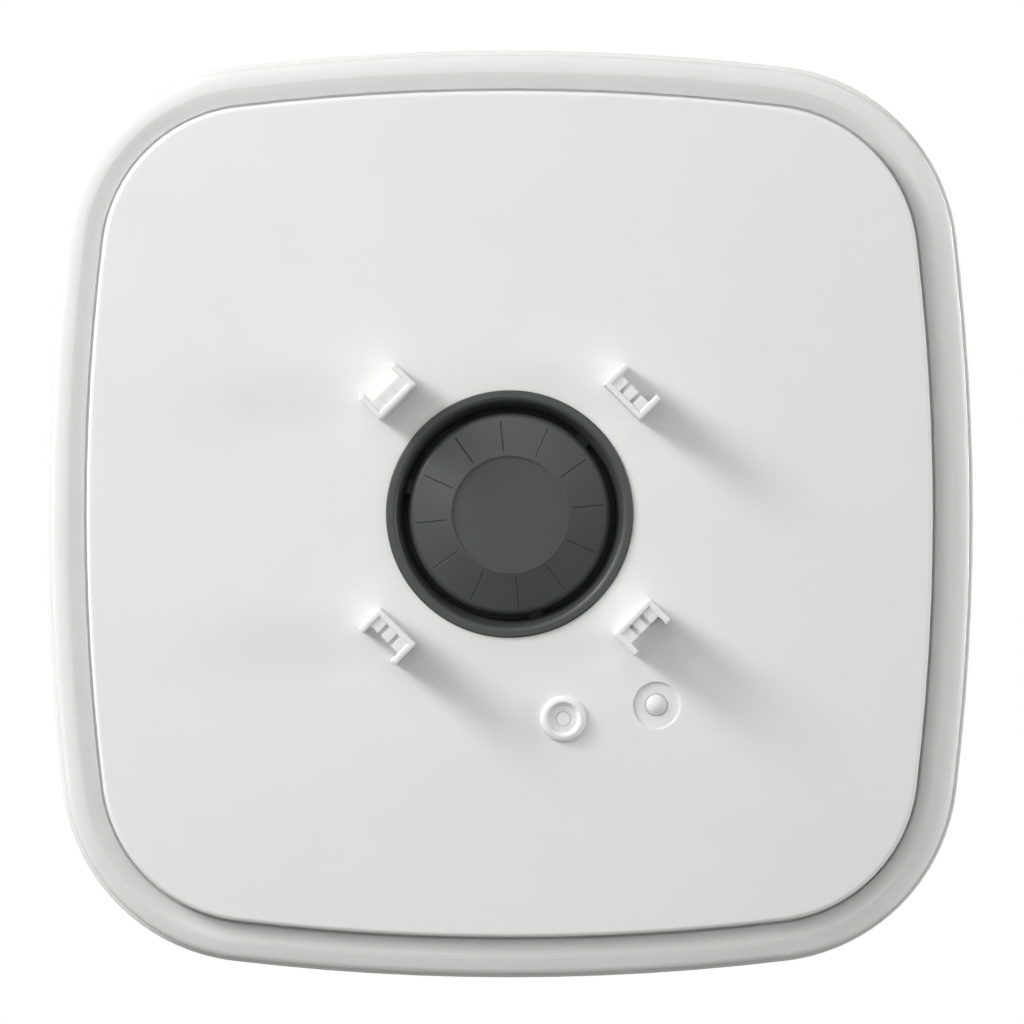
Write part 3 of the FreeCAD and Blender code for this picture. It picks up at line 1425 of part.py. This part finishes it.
def button_spring(name, x, y, back, front):
    """The coil between a button's flange and its switch, held just clear of both."""
    gap = value("running_gap")
    low, high = value(back) + gap, value(front) - gap
    centre = Vector(value(x), value(y), low)
    radius, wire = value("spring_radius"), value("spring_wire")
    node(name, coil(f"{name}_coil", centre, Vector(0, 0, 1), radius, wire, high - low, BUTTON_SPRING_TURNS))


def front_button():
    """The domed button in the recess; the clipped-on cap holds it down."""
    switch("front_switch", "dome_x", "dome_y", True)
    at = ("dome_x", "dome_y")
    flange_front = f"({COVER_BACK} - running_gap)"
    flange_back = f"({COVER_BACK} - running_gap - button_flange)"
    rod_end = f"({BOARD_FRONT} + switch_height + switch_stem + front_travel + stem_gap)"
    post = cylinder("dome_post", "dome_radius", *at, f"{flange_front} - join", "dome_top + past")
    ball = sphere("dome_ball", "dome_sphere", *at, "dome_top - dome_sphere")
    flange = cylinder("dome_flange", "button_flange_radius", *at, flange_back, flange_front)
    rod = cylinder("dome_rod", "button_rod_radius", *at, rod_end, flange_front)
    node("front_button", fuse("front_button_solid", common("dome", post, ball), flange, rod))
    button_spring("front_button_spring", *at, f"{BOARD_FRONT} + switch_height", flange_back)


def rear_buttons():
    """The tear-off plunger and the power button, both reached from the back."""
    flange_back = f"({RECESS_INNER} + running_gap)"
    flange_front = f"({RECESS_INNER} + running_gap + button_flange)"
    stem_end = "(board_depth - switch_height - switch_stem)"
    buttons = (
        ("tamper", "tamper_plunger", "tamper_radius", "bracket_thickness + running_gap", "rear_travel"),
        ("power", "power_button", "power_radius", f"{RECESS} - running_gap", "power_travel"),
    )
    for name, label, radius, tip_back, travel in buttons:
        at = (f"{name}_x", f"{name}_y")
        switch(f"{name}_switch", *at, False)
        tip = cylinder(f"{name}_tip", radius, *at, tip_back, f"{flange_back} + join")
        flange = cylinder(f"{name}_flange", "button_flange_radius", *at, flange_back, flange_front)
        rod_end = f"{stem_end} - {travel} - stem_gap"
        rod = cylinder(f"{name}_rod", "button_rod_radius", *at, flange_back, rod_end)
        node(label, fuse(f"{name}_solid", tip, flange, rod))
    button_spring("tamper_spring", "tamper_x", "tamper_y", flange_front, "board_depth - switch_height")


def battery_tray():
    """The open tray for four cells in two rows, with contacts, springs and a clamp."""
    outer = box(
        "tray_outer", "-tray_half_width", "tray_half_width", TRAY_BOTTOM, TRAY_TOP, RECESS_INNER, "tray_depth"
    )
    well = (
        f"{TRAY_BOTTOM} + tray_wall", f"{TRAY_TOP} - tray_wall", f"{RECESS_INNER} + tray_wall",
        "tray_depth + past",
    )
    wells = [
        box("tray_well_left", "-tray_half_width + tray_wall", "-tray_wall / 2", *well),
        box("tray_well_right", "tray_wall / 2", "tray_half_width - tray_wall", *well),
    ]
    pieces = [outer]
    holes = []
    ear_front = f"{RECESS_INNER} + tray_ear_thickness"
    for number, (x, y) in enumerate(tray_screw_places()):
        pieces.append(cylinder(f"tray_ear_{number}", "tray_ear_radius", x, y, RECESS_INNER, ear_front))
        pieces.append(box(
            f"tray_ear_web_{number}", f"{x} - tray_ear_radius", f"{x} + tray_ear_radius",
            f"{TRAY_TOP} - join", y, RECESS_INNER, ear_front,
        ))
        holes.append(cylinder(
            f"tray_ear_hole_{number}", "board_screw_radius + rest_gap", x, y, "0", "cover_front"
        ))
    node("battery_tray", cut("tray", fuse("tray_solid", *pieces), *wells, *holes))
    battery_clamp()
    battery_cells()


def battery_clamp():
    """A strap over the middle of the cells, on two legs that stand on the tray's walls."""
    back = f"({RECESS_INNER} + tray_wall + cell_lift + 2 * cell_radius + running_gap)"
    front = f"{back} + clamp_thickness"
    sides = ("-clamp_half_width", "clamp_half_width")
    leg_front = f"{back} + join"
    node("battery_clamp", fuse(
        "clamp",
        box("clamp_strap", *sides, TRAY_BOTTOM, TRAY_TOP, back, front),
        box("clamp_leg_low", *sides, TRAY_BOTTOM, f"{TRAY_BOTTOM} + tray_wall", "tray_depth", leg_front),
        box("clamp_leg_high", *sides, f"{TRAY_TOP} - tray_wall", TRAY_TOP, "tray_depth", leg_front),
    ))


def battery_cells():
    """Four cells in two rows, with their flat contacts and the springs at their flat ends."""
    depth = f"({RECESS_INNER} + tray_wall + cell_lift + cell_radius)"
    half = "contact_size / 2"
    inner_face = "(tray_wall / 2)"
    outer_face = "(tray_half_width - tray_wall - contact_thickness)"
    contacts = []
    springs = []
    for row, way in enumerate(("+", "-")):
        y = f"({TRAY_MIDDLE} {way} row_offset)"
        sides = (f"{y} - {half}", f"{y} + {half}", f"{depth} - {half}", f"{depth} + {half}")
        for index, face in enumerate((inner_face, outer_face)):
            far = f"{face} + contact_thickness"
            contacts.append(box(f"contact_right_{row}_{index}", face, far, *sides))
            contacts.append(box(f"contact_left_{row}_{index}", f"-({far})", f"-{face}", *sides))
        left = (f"-{outer_face}", f"(-{inner_face} - contact_thickness)")
        right = (f"({inner_face} + contact_thickness)", outer_face)
        for column, (flat_seat, plus_end) in enumerate((left, right)):
            number = 2 * row + column + 1
            node(f"battery_cell_{number}", battery_cell(number, plus_end, y, depth))
            springs.append(battery_spring(number, flat_seat, f"{plus_end} - cell_length", y, depth))
    node("battery_contacts", *contacts)
    node("battery_springs", *springs)


def battery_cell(number, plus_end, y, depth):
    """One cell, its round nub at the right."""
    start = f"({plus_end} - cell_length)"
    shoulder = f"({plus_end} - nub_length)"
    can = cylinder_x(f"cell_can_{number}", "cell_radius", start, shoulder, y, depth)
    nub = cylinder_x(f"cell_nub_{number}", "nub_radius", f"{shoulder} - join", plus_end, y, depth)
    sleeve = rounded(f"cell_round_{number}", can, "cell_round", lambda edge: edge.BoundBox.XLength < TINY)
    return fuse(f"cell_{number}", sleeve, nub)


def battery_spring(number, seat, cell_start, y, depth):
    """The coil between a contact and the flat end of a cell."""
    first = value(f"{seat} + rest_gap")
    length = value(f"{cell_start} - rest_gap") - first
    radius, wire = value("battery_spring_radius"), value("battery_spring_wire")
    centre = Vector(first, value(y), value(depth))
    name = f"battery_spring_{number}"
    return coil(name, centre, Vector(1, 0, 0), radius, wire, length, BATTERY_SPRING_TURNS)


def battery_leads():
    """The red and black wires that bow out from the tray's end and run down to the connector."""
    tray_end = value("tray_half_width + running_gap")
    bow = tray_end + value("lead_bow")
    pitch = value("lead_pitch")
    depth = value("tray_depth - lead_drop")
    start = value(TRAY_MIDDLE)
    turn = value("board_top + lead_turn_rise")
    dive = value("board_top + lead_dive_rise")
    plug = value(f"{BOARD_FRONT} + plug_middle")
    plug_x = value("connector_x")
    end = value("board_top - connector_drop + running_gap")
    for colour, shift in (("red", pitch / 2), ("black", -pitch / 2)):
        points = [
            (tray_end, start + shift, depth),
            (bow + shift, start + shift, depth),
            (bow + shift, turn - shift, depth),
            (plug_x + shift, dive - shift, plug - value("lead_dive")),
            (plug_x + shift, end, plug),
        ]
        node(f"battery_lead_{colour}", lead(f"battery_wire_{colour}", points, value("lead_radius")))


def case_screws():
    """The eight screws that hold the cover to the housing from behind."""
    node("case_screws", *[
        screw(f"case_screw_{number}", "case", x, y, CASE_WEB_REAR, "case_screw_length", True)
        for number, (x, y) in enumerate(case_screw_places())
    ])


def gland_and_vent():
    """The rubber cable gland and the breathing vent in the floor of the recess."""
    at = ("cable_x", "cable_y")
    outer = cylinder("gland_outer", "gland_outer_radius", *at, f"{RECESS} - gland_outer_flange", RECESS)
    stem = cylinder("gland_stem", "gland_stem_radius", *at, f"{RECESS} - join", f"{RECESS_INNER} + join")
    inner_front = f"{RECESS_INNER} + gland_inner_flange"
    inner = cylinder("gland_inner", "gland_inner_radius", *at, RECESS_INNER, inner_front)
    bore = cylinder("gland_bore", "cable_radius", *at, "0", "cover_front")
    node("cable_gland", cut("gland", fuse("gland_solid", outer, stem, inner), bore))
    at = ("vent_x", "vent_y")
    head = cylinder("vent_head_disc", "vent_radius", *at, f"{RECESS} - vent_head", RECESS)
    vent_stem = cylinder("vent_stem", "vent_stem_radius", *at, f"{RECESS} - join", f"{RECESS_INNER} + join")
    node("vent_plug", fuse("vent", head, vent_stem))


def write_parts():
    """Checks every object, then writes one file to each sub-part."""
    doc.recompute()
    failed = [thing.Label for thing in doc.Objects if "Invalid" in thing.State or "Error" in thing.State]
    assert not failed, f"failed objects: {failed}"
    labels = [whole.Label for whole in NODES]
    assert len(set(labels)) == len(labels), "two sub-parts share a name"
    for whole in NODES:
        shape = whole.Shape
        assert not shape.isNull(), f"{whole.Label} is empty"
        assert shape.isValid(), f"{whole.Label} is not valid"
        assert shape.Solids, f"{whole.Label} has no solid"
    os.makedirs("parts", exist_ok=True)
    for whole in NODES:
        whole.Shape.exportStep(os.path.join("parts", f"{whole.Label}.step"))
        print(whole.Label, len(whole.Shape.Solids), "solids", round(whole.Shape.Volume), "mm3")
    print(len(NODES), "sub-parts")


mounting_bracket()
lock_screw()
rear_housing()
perimeter_seal()
light_frame()
light_reflector()
light_boards()
front_cover()
horn_bezel()
horn_cap()
siren_driver()
main_board()
front_button()
rear_buttons()
battery_tray()
battery_leads()
case_screws()
gland_and_vent()
write_parts()
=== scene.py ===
import json
import math

import bpy
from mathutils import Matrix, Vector


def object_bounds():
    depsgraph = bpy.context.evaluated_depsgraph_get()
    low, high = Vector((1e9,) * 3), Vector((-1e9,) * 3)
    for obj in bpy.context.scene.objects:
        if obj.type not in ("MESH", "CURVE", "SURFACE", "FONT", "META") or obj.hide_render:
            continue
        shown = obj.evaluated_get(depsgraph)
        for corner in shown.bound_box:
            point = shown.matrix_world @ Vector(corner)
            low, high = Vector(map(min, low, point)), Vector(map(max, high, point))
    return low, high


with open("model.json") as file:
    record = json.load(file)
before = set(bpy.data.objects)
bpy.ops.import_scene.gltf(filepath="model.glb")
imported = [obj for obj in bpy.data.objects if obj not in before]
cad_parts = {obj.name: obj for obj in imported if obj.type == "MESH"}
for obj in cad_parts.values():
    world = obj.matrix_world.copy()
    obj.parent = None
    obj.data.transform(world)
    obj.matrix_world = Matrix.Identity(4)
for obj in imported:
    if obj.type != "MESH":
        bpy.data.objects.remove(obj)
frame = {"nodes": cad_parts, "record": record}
cad_low, cad_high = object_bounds()

MM = 0.001
QUARTER_TURN = math.radians(90)
WHITE = (1, 1, 1, 1)


def add(tree, kind, **values):
    """A new node; each value goes to the input socket of that name, or else to the setting."""
    made = tree.nodes.new(kind)
    for key, value in values.items():
        if key in made.inputs:
            made.inputs[key].default_value = value
        else:
            setattr(made, key, value)
    return made


def first(tree, kind):
    return next(node for node in tree.nodes if node.type == kind)


def either(tree, one, other):
    """The larger of two factors."""
    made = add(tree, "ShaderNodeMath", operation="MAXIMUM")
    tree.links.new(one, made.inputs[0])
    tree.links.new(other, made.inputs[1])
    return made.outputs[0]


def blended(tree, factor, one, other, output):
    """Shows one shader where the factor is 0 and the other where it is 1."""
    choice = add(tree, "ShaderNodeMixShader")
    tree.links.new(factor, choice.inputs["Fac"])
    tree.links.new(one.outputs[0], choice.inputs[1])
    tree.links.new(other.outputs[0], choice.inputs[2])
    tree.links.new(choice.outputs[0], output.inputs["Surface"])


# Noise mostly lies between these two values.
NOISE_LOW, NOISE_HIGH = 0.3, 0.7

# The mix node has sockets for numbers, vectors and colours; these are its two colours and its result.
MIX_START, MIX_END, MIX_RESULT = 6, 7, 2

# Cosines between the surface and its neighbourhood where the wear of an edge begins and is full.
WEAR_BEGINS, WEAR_FULL = 0.98, 0.75


class Shader:
    """A procedural material, built up around one Principled shader."""

    def __init__(self, name, colour, roughness, metallic=0.0, ior=1.46):
        self.name = name
        self.material = bpy.data.materials.new(name)
        self.material.use_nodes = True
        self.tree = self.material.node_tree
        self.bsdf = first(self.tree, "BSDF_PRINCIPLED")
        self.colour = colour
        self.roughness = roughness
        self.set("Base Color", (*colour, 1))
        self.set("Roughness", roughness)
        self.set("Metallic", metallic)
        self.set("IOR", ior)
        self.place = add(self.tree, "ShaderNodeTexCoord").outputs["Object"]
        self.colour_socket = None
        self.normal_socket = None

    def set(self, name, value):
        self.bsdf.inputs[name].default_value = value

    def link(self, source, target):
        self.tree.links.new(source, target)

    def mapped(self, turn=(0, 0, 0), scale=(1, 1, 1)):
        """Object coordinates, turned and then stretched along each axis."""
        turned = add(self.tree, "ShaderNodeMapping", Rotation=turn)
        self.link(self.place, turned.inputs["Vector"])
        stretched = add(self.tree, "ShaderNodeMapping", Scale=scale)
        self.link(turned.outputs["Vector"], stretched.inputs["Vector"])
        return stretched.outputs["Vector"]

    def noise(self, size, detail=2.0, vector=None):
        """Noise whose blotches are about `size` metres across."""
        made = add(self.tree, "ShaderNodeTexNoise", Scale=1 / size, Detail=detail, Roughness=0.55)
        self.link(vector or self.place, made.inputs["Vector"])
        return made.outputs["Fac"]

    def ramp(self, value, low, high, to_low=0.0, to_high=1.0, course="LINEAR"):
        limits = {"From Min": low, "From Max": high, "To Min": to_low, "To Max": to_high}
        made = add(self.tree, "ShaderNodeMapRange", interpolation_type=course, **limits)
        self.link(value, made.inputs["Value"])
        return made.outputs["Result"]

    def mix(self, factor, start, end):
        """A colour between two, each a socket or a tuple."""
        made = add(self.tree, "ShaderNodeMix", data_type="RGBA")
        self.link(factor, made.inputs["Factor"])
        for socket, value in ((made.inputs[MIX_START], start), (made.inputs[MIX_END], end)):
            if isinstance(value, tuple):
                socket.default_value = (*value, 1)
            else:
                self.link(value, socket)
        return made.outputs[MIX_RESULT]

    def set_colour(self, socket):
        self.link(socket, self.bsdf.inputs["Base Color"])
        self.colour_socket = socket

    def mottle(self, size, amount):
        """Lightens and darkens the colour softly in blotches."""
        shade = self.ramp(self.noise(size, detail=3.0), NOISE_LOW, NOISE_HIGH)
        dark = tuple(channel * (1 - amount) for channel in self.colour)
        light = tuple(channel * (1 + amount) for channel in self.colour)
        self.set_colour(self.mix(shade, dark, light))

    def vary_roughness(self, size, amount):
        limits = (self.roughness - amount, self.roughness + amount)
        varied = self.ramp(self.noise(size, detail=3.0), NOISE_LOW, NOISE_HIGH, *limits)
        self.link(varied, self.bsdf.inputs["Roughness"])

    def bump(self, height, depth):
        """Adds a height field, `depth` metres from its lowest to its highest."""
        made = add(self.tree, "ShaderNodeBump", Strength=1.0, Distance=depth)
        self.link(height, made.inputs["Height"])
        if self.normal_socket is not None:
            self.link(self.normal_socket, made.inputs["Normal"])
        self.normal_socket = made.outputs["Normal"]
        self.link(self.normal_socket, self.bsdf.inputs["Normal"])

    def worn_edges(self, colour, amount, radius):
        """Lightens the colour where the surface turns sharply."""
        bevel = add(self.tree, "ShaderNodeBevel", samples=4, Radius=radius)
        flat = add(self.tree, "ShaderNodeNewGeometry").outputs["Normal"]
        turn = add(self.tree, "ShaderNodeVectorMath", operation="DOT_PRODUCT")
        self.link(bevel.outputs["Normal"], turn.inputs[0])
        self.link(flat, turn.inputs[1])
        edge = self.ramp(turn.outputs["Value"], WEAR_BEGINS, WEAR_FULL, 0.0, amount)
        self.set_colour(self.mix(edge, self.colour_socket, colour))


def moulded(name, colour, roughness=0.5, grain=0.35 * MM, depth=0.006 * MM, mottling=0.012):
    """Moulded plastic: fine spark-eroded grain, slow sink marks, a colour drift and patchy gloss."""
    made = Shader(name, colour, roughness)
    made.mottle(size=24 * MM, amount=mottling)
    made.vary_roughness(size=9 * MM, amount=0.05)
    made.bump(made.noise(14 * MM), depth=0.02 * MM)
    made.bump(made.noise(grain, detail=4.0), depth)
    return made


def milky(name, colour, roughness, weight, radius):
    """Translucent plastic: light enters and leaves again about `radius` metres off."""
    made = moulded(name, colour, roughness, grain=0.8 * MM, depth=0.002 * MM, mottling=0.008)
    made.set("Subsurface Weight", weight)
    made.set("Subsurface Radius", (radius, radius, radius))
    made.set("Subsurface Scale", 1.0)
    return made


def rubbery(name, colour, roughness=0.72):
    """Cured rubber: a coarse matt skin with a faint bloom."""
    made = Shader(name, colour, roughness, ior=1.5)
    made.mottle(size=5 * MM, amount=0.12)
    made.vary_roughness(size=3 * MM, amount=0.08)
    made.bump(made.noise(0.25 * MM, detail=4.0), depth=0.012 * MM)
    made.set("Sheen Weight", 0.15)
    return made


def drawn_metal(name, colour, roughness, stretch):
    """Metal with fine lines along the axis that `stretch` squeezes, and patches of dulled finish."""
    made = Shader(name, colour, roughness, metallic=1.0, ior=1.5)
    made.mottle(size=4 * MM, amount=0.06)
    made.vary_roughness(size=2.5 * MM, amount=0.09)
    made.bump(made.noise(0.12 * MM, vector=made.mapped(scale=stretch)), depth=0.004 * MM)
    return made


def sleeve(name, colour):
    """Shrunk film over a cell, can or wire, with faint waves and a glossy skin."""
    made = Shader(name, colour, roughness=0.28)
    made.mottle(size=7 * MM, amount=0.05)
    made.vary_roughness(size=4 * MM, amount=0.06)
    made.bump(made.noise(2.2 * MM, detail=1.0), depth=0.03 * MM)
    made.set("Coat Weight", 0.4)
    made.set("Coat Roughness", 0.12)
    return made


def circuit(name, mask, track, pitch):
    """Solder mask over a net of raised copper tracks, laid out in the plane of the board."""
    made = Shader(name, mask, roughness=0.34)
    layout = {"Scale": 1.0, "Mortar Size": 0.035, "Brick Width": 1.7, "Row Height": 0.45}
    brick = add(made.tree, "ShaderNodeTexBrick", **layout)
    upright = made.mapped((QUARTER_TURN, 0, 0), (1 / pitch, 1 / pitch, 1 / pitch))
    made.link(upright, brick.inputs["Vector"])
    lines = brick.outputs["Fac"]
    made.set_colour(made.mix(lines, mask, track))
    made.bump(lines, depth=0.03 * MM)
    made.vary_roughness(size=2 * MM, amount=0.06)
    return made


def fired(name, colour):
    """Fired ceramic with a fine tooth."""
    made = Shader(name, colour, roughness=0.45)
    made.mottle(size=3 * MM, amount=0.05)
    made.vary_roughness(size=2 * MM, amount=0.05)
    made.bump(made.noise(0.3 * MM, detail=3.0), depth=0.004 * MM)
    return made


ALONG_X = (0.04, 1, 1)
ALONG_Y = (1, 0.04, 1)
ALONG_Z = (1, 1, 0.04)

# After the name: the colour and roughness; then for moulded plastic the size and depth of its grain and
# its mottling, for milky plastic the share and reach of the light inside it, and for metal its lines.
SHADERS = (
    milky("cover_white", (0.805, 0.805, 0.797), 0.55, 0.6, 0.9 * MM),
    moulded("housing_white", (0.785, 0.785, 0.775), 0.58, 0.4 * MM, 0.012 * MM, 0.012),
    milky("frame_white", (0.81, 0.81, 0.805), 0.42, 1.0, 5.5 * MM),
    moulded("reflector_white", (0.86, 0.86, 0.86), 0.32),
    moulded("bracket_white", (0.76, 0.76, 0.75), 0.6, 0.5 * MM, 0.014 * MM, 0.015),
    moulded("horn_grey", (0.046, 0.047, 0.0475), 0.48, 0.3 * MM, 0.008 * MM, 0.03),
    moulded("chamber_black", (0.04, 0.04, 0.04), 0.6, 0.4 * MM, 0.01 * MM, 0.05),
    milky("pipe_clear", (0.82, 0.82, 0.81), 0.35, 0.3, 0.8 * MM),
    rubbery("seal_rubber", (0.06, 0.06, 0.06)),
    rubbery("gland_rubber", (0.20, 0.20, 0.20)),
    milky("button_white", (0.76, 0.76, 0.75), 0.5, 0.6, 0.9 * MM),
    moulded("button_black", (0.04, 0.04, 0.04), 0.42),
    moulded("switch_black", (0.03, 0.03, 0.03), 0.4),
    drawn_metal("screw_steel", (0.60, 0.60, 0.61), 0.32, ALONG_Y),
    drawn_metal("spring_steel", (0.64, 0.64, 0.65), 0.24, ALONG_Y),
    drawn_metal("contact_steel", (0.68, 0.67, 0.64), 0.26, ALONG_Z),
    drawn_metal("insert_brass", (0.75, 0.56, 0.26), 0.3, ALONG_X),
    drawn_metal("piezo_brass", (0.78, 0.60, 0.28), 0.3, ALONG_X),
    fired("ceramic_white", (0.82, 0.80, 0.74)),
    circuit("board_green", (0.02, 0.13, 0.055), (0.05, 0.24, 0.09), pitch=9 * MM),
    circuit("light_board_white", (0.76, 0.76, 0.75), (0.68, 0.69, 0.66), pitch=6 * MM),
    moulded("chip_black", (0.03, 0.03, 0.035), 0.5, 0.2 * MM, 0.006 * MM),
    milky("lamp_chip", (0.78, 0.66, 0.25), 0.2, 0.4, 0.5 * MM),
    drawn_metal("shield_tin", (0.66, 0.66, 0.65), 0.34, ALONG_X),
    sleeve("transformer_yellow", (0.60, 0.43, 0.07)),
    sleeve("capacitor_can", (0.03, 0.035, 0.09)),
    moulded("terminal_green", (0.05, 0.30, 0.11), 0.4),
    moulded("tray_black", (0.045, 0.045, 0.047), 0.52, 0.4 * MM, 0.012 * MM, 0.04),
    sleeve("cell_sleeve", (0.16, 0.29, 0.38)),
    moulded("connector_white", (0.80, 0.78, 0.70), 0.4),
    sleeve("wire_red", (0.50, 0.02, 0.02)),
    sleeve("wire_black", (0.02, 0.02, 0.02)),
    moulded("membrane_film", (0.08, 0.08, 0.08), 0.6, 0.3 * MM, 0.01 * MM),
    moulded("vent_grey", (0.28, 0.28, 0.28), 0.6, 0.2 * MM, 0.02 * MM),
)
MATERIALS = {shader.name: shader for shader in SHADERS}
MATERIALS["screw_steel"].worn_edges((0.8, 0.8, 0.8), amount=0.6, radius=0.15 * MM)
MATERIALS["horn_grey"].worn_edges((0.10, 0.10, 0.10), amount=0.3, radius=0.25 * MM)

for row in frame["record"]["subparts"]:
    piece = frame["nodes"][row["node"]]
    piece.data.materials.clear()
    piece.data.materials.append(MATERIALS[row["material_slot"]].material)


# The camera is far off and straight on, as in the photograph, a little to the right and up of the siren's
# middle. The frame width is what it sees at the depth of the silhouette.
FRAME_WIDTH = 0.22093
SILHOUETTE_DEPTH = 32 * MM
CAMERA_DISTANCE = 1.4
CAMERA_SIDE, CAMERA_RISE = 0.49 * MM, 0.43 * MM
SENSOR_WIDTH = 36.0
FARTHEST_SEEN = 20.0

camera_data = bpy.data.cameras.new("camera")
camera_data.sensor_width = SENSOR_WIDTH
camera_data.lens = SENSOR_WIDTH * CAMERA_DISTANCE / FRAME_WIDTH
camera_data.clip_end = FARTHEST_SEEN
camera = bpy.data.objects.new("camera", camera_data)
bpy.context.scene.collection.objects.link(camera)
camera.location = (CAMERA_SIDE, -SILHOUETTE_DEPTH - CAMERA_DISTANCE, CAMERA_RISE)
camera.rotation_euler = (QUARTER_TURN, 0, 0)
bpy.context.scene.camera = camera

COVER_MIDDLE = Vector((0, -40 * MM, 0))


def softbox(name, turn, height, distance, size, watts):
    """A round area lamp that faces the middle of the cover.

    `turn` goes round the view axis from the right, and `height` up from the plane of the cover, or
    behind it where it is negative.
    """
    data = bpy.data.lights.new(name, "AREA")
    data.shape = "DISK"
    data.size = size
    data.energy = watts
    lamp = bpy.data.objects.new(name, data)
    bpy.context.scene.collection.objects.link(lamp)
    around, up = math.radians(turn), math.radians(height)
    away = Vector((math.cos(around) * math.cos(up), -math.sin(up), math.sin(around) * math.cos(up)))
    lamp.location = COVER_MIDDLE + away * distance
    lamp.rotation_euler = (-away).to_track_quat("-Z", "Y").to_euler()


# The shadows of the posts show one soft tall light from the upper left, here a low and a high lamp.
# A large close one fills in from in front, and a faint one lights the frame's right rim. The lower rim
# has its light off the floor. A lamp behind, a little to the right, shows the back.
# Each has its name, turn and height in degrees, distance and size in metres, and watts.
LAMPS = (
    ("key_low", 144, 18.5, 1.8, 0.54, 24.0),
    ("key_high", 145, 36, 1.8, 0.63, 6.8),
    ("front", 128, 66, 0.8, 0.90, 3.0),
    ("right", 0, 7, 1.8, 1.0, 24.0),
    ("back", 0, -66, 1.8, 1.2, 36.0),
)
for lamp in LAMPS:
    softbox(*lamp)

# The world is a faint grey light, and plain white where it is seen, reflected or looked at through glass.
AMBIENT = 0.04

world = bpy.data.worlds.new("studio")
bpy.context.scene.world = world
world.use_nodes = True
sky = world.node_tree
dim = first(sky, "BACKGROUND")
dim.inputs["Color"].default_value = WHITE
dim.inputs["Strength"].default_value = AMBIENT
bright = add(sky, "ShaderNodeBackground", Color=WHITE, Strength=1.0)
rays = add(sky, "ShaderNodeLightPath").outputs
shown = either(sky, rays["Is Camera Ray"], rays["Is Glossy Ray"])
shown = either(sky, shown, rays["Is Transmission Ray"])
blended(sky, shown, dim, bright, first(sky, "OUTPUT_WORLD"))

# The floor lies a little under the siren and keeps its shadow. It turns plain white further out, and
# throws less light back than its own colour would.
FLOOR_DROP = 0.06
FLOOR_HALF = 6.0
FADE_START, FADE_END = 0.22, 0.52
FLOOR_PALE = (0.92, 0.92, 0.92)
FLOOR_BOUNCE = (0.32, 0.32, 0.32)
FLOOR_ROUGHNESS = 0.9

pale = Shader("floor_pale", FLOOR_BOUNCE, FLOOR_ROUGHNESS, ior=1.5)
pale.set("Specular IOR Level", 0.0)
camera_ray = add(pale.tree, "ShaderNodeLightPath").outputs["Is Camera Ray"]
pale.set_colour(pale.mix(camera_ray, FLOOR_BOUNCE, FLOOR_PALE))
reach = add(pale.tree, "ShaderNodeVectorMath", operation="LENGTH")
pale.link(pale.place, reach.inputs[0])
faded = pale.ramp(reach.outputs["Value"], FADE_START, FADE_END, course="SMOOTHSTEP")
far_off = add(pale.tree, "ShaderNodeMath", operation="MULTIPLY")
pale.link(faded, far_off.inputs[0])
pale.link(camera_ray, far_off.inputs[1])
glow = add(pale.tree, "ShaderNodeEmission", Strength=1.0)
blended(pale.tree, far_off.outputs[0], pale.bsdf, glow, first(pale.tree, "OUTPUT_MATERIAL"))

mesh = bpy.data.meshes.new("floor")
floor_height = cad_low.z - FLOOR_DROP
quadrants = ((-1, -1), (1, -1), (1, 1), (-1, 1))
corners = [(x * FLOOR_HALF, y * FLOOR_HALF, floor_height) for x, y in quadrants]
mesh.from_pydata(corners, [], [(0, 1, 2, 3)])
mesh.materials.append(pale.material)
floor = bpy.data.objects.new("floor", mesh)
bpy.context.scene.collection.objects.link(floor)

bpy.context.scene.view_settings.view_transform = "Standard"
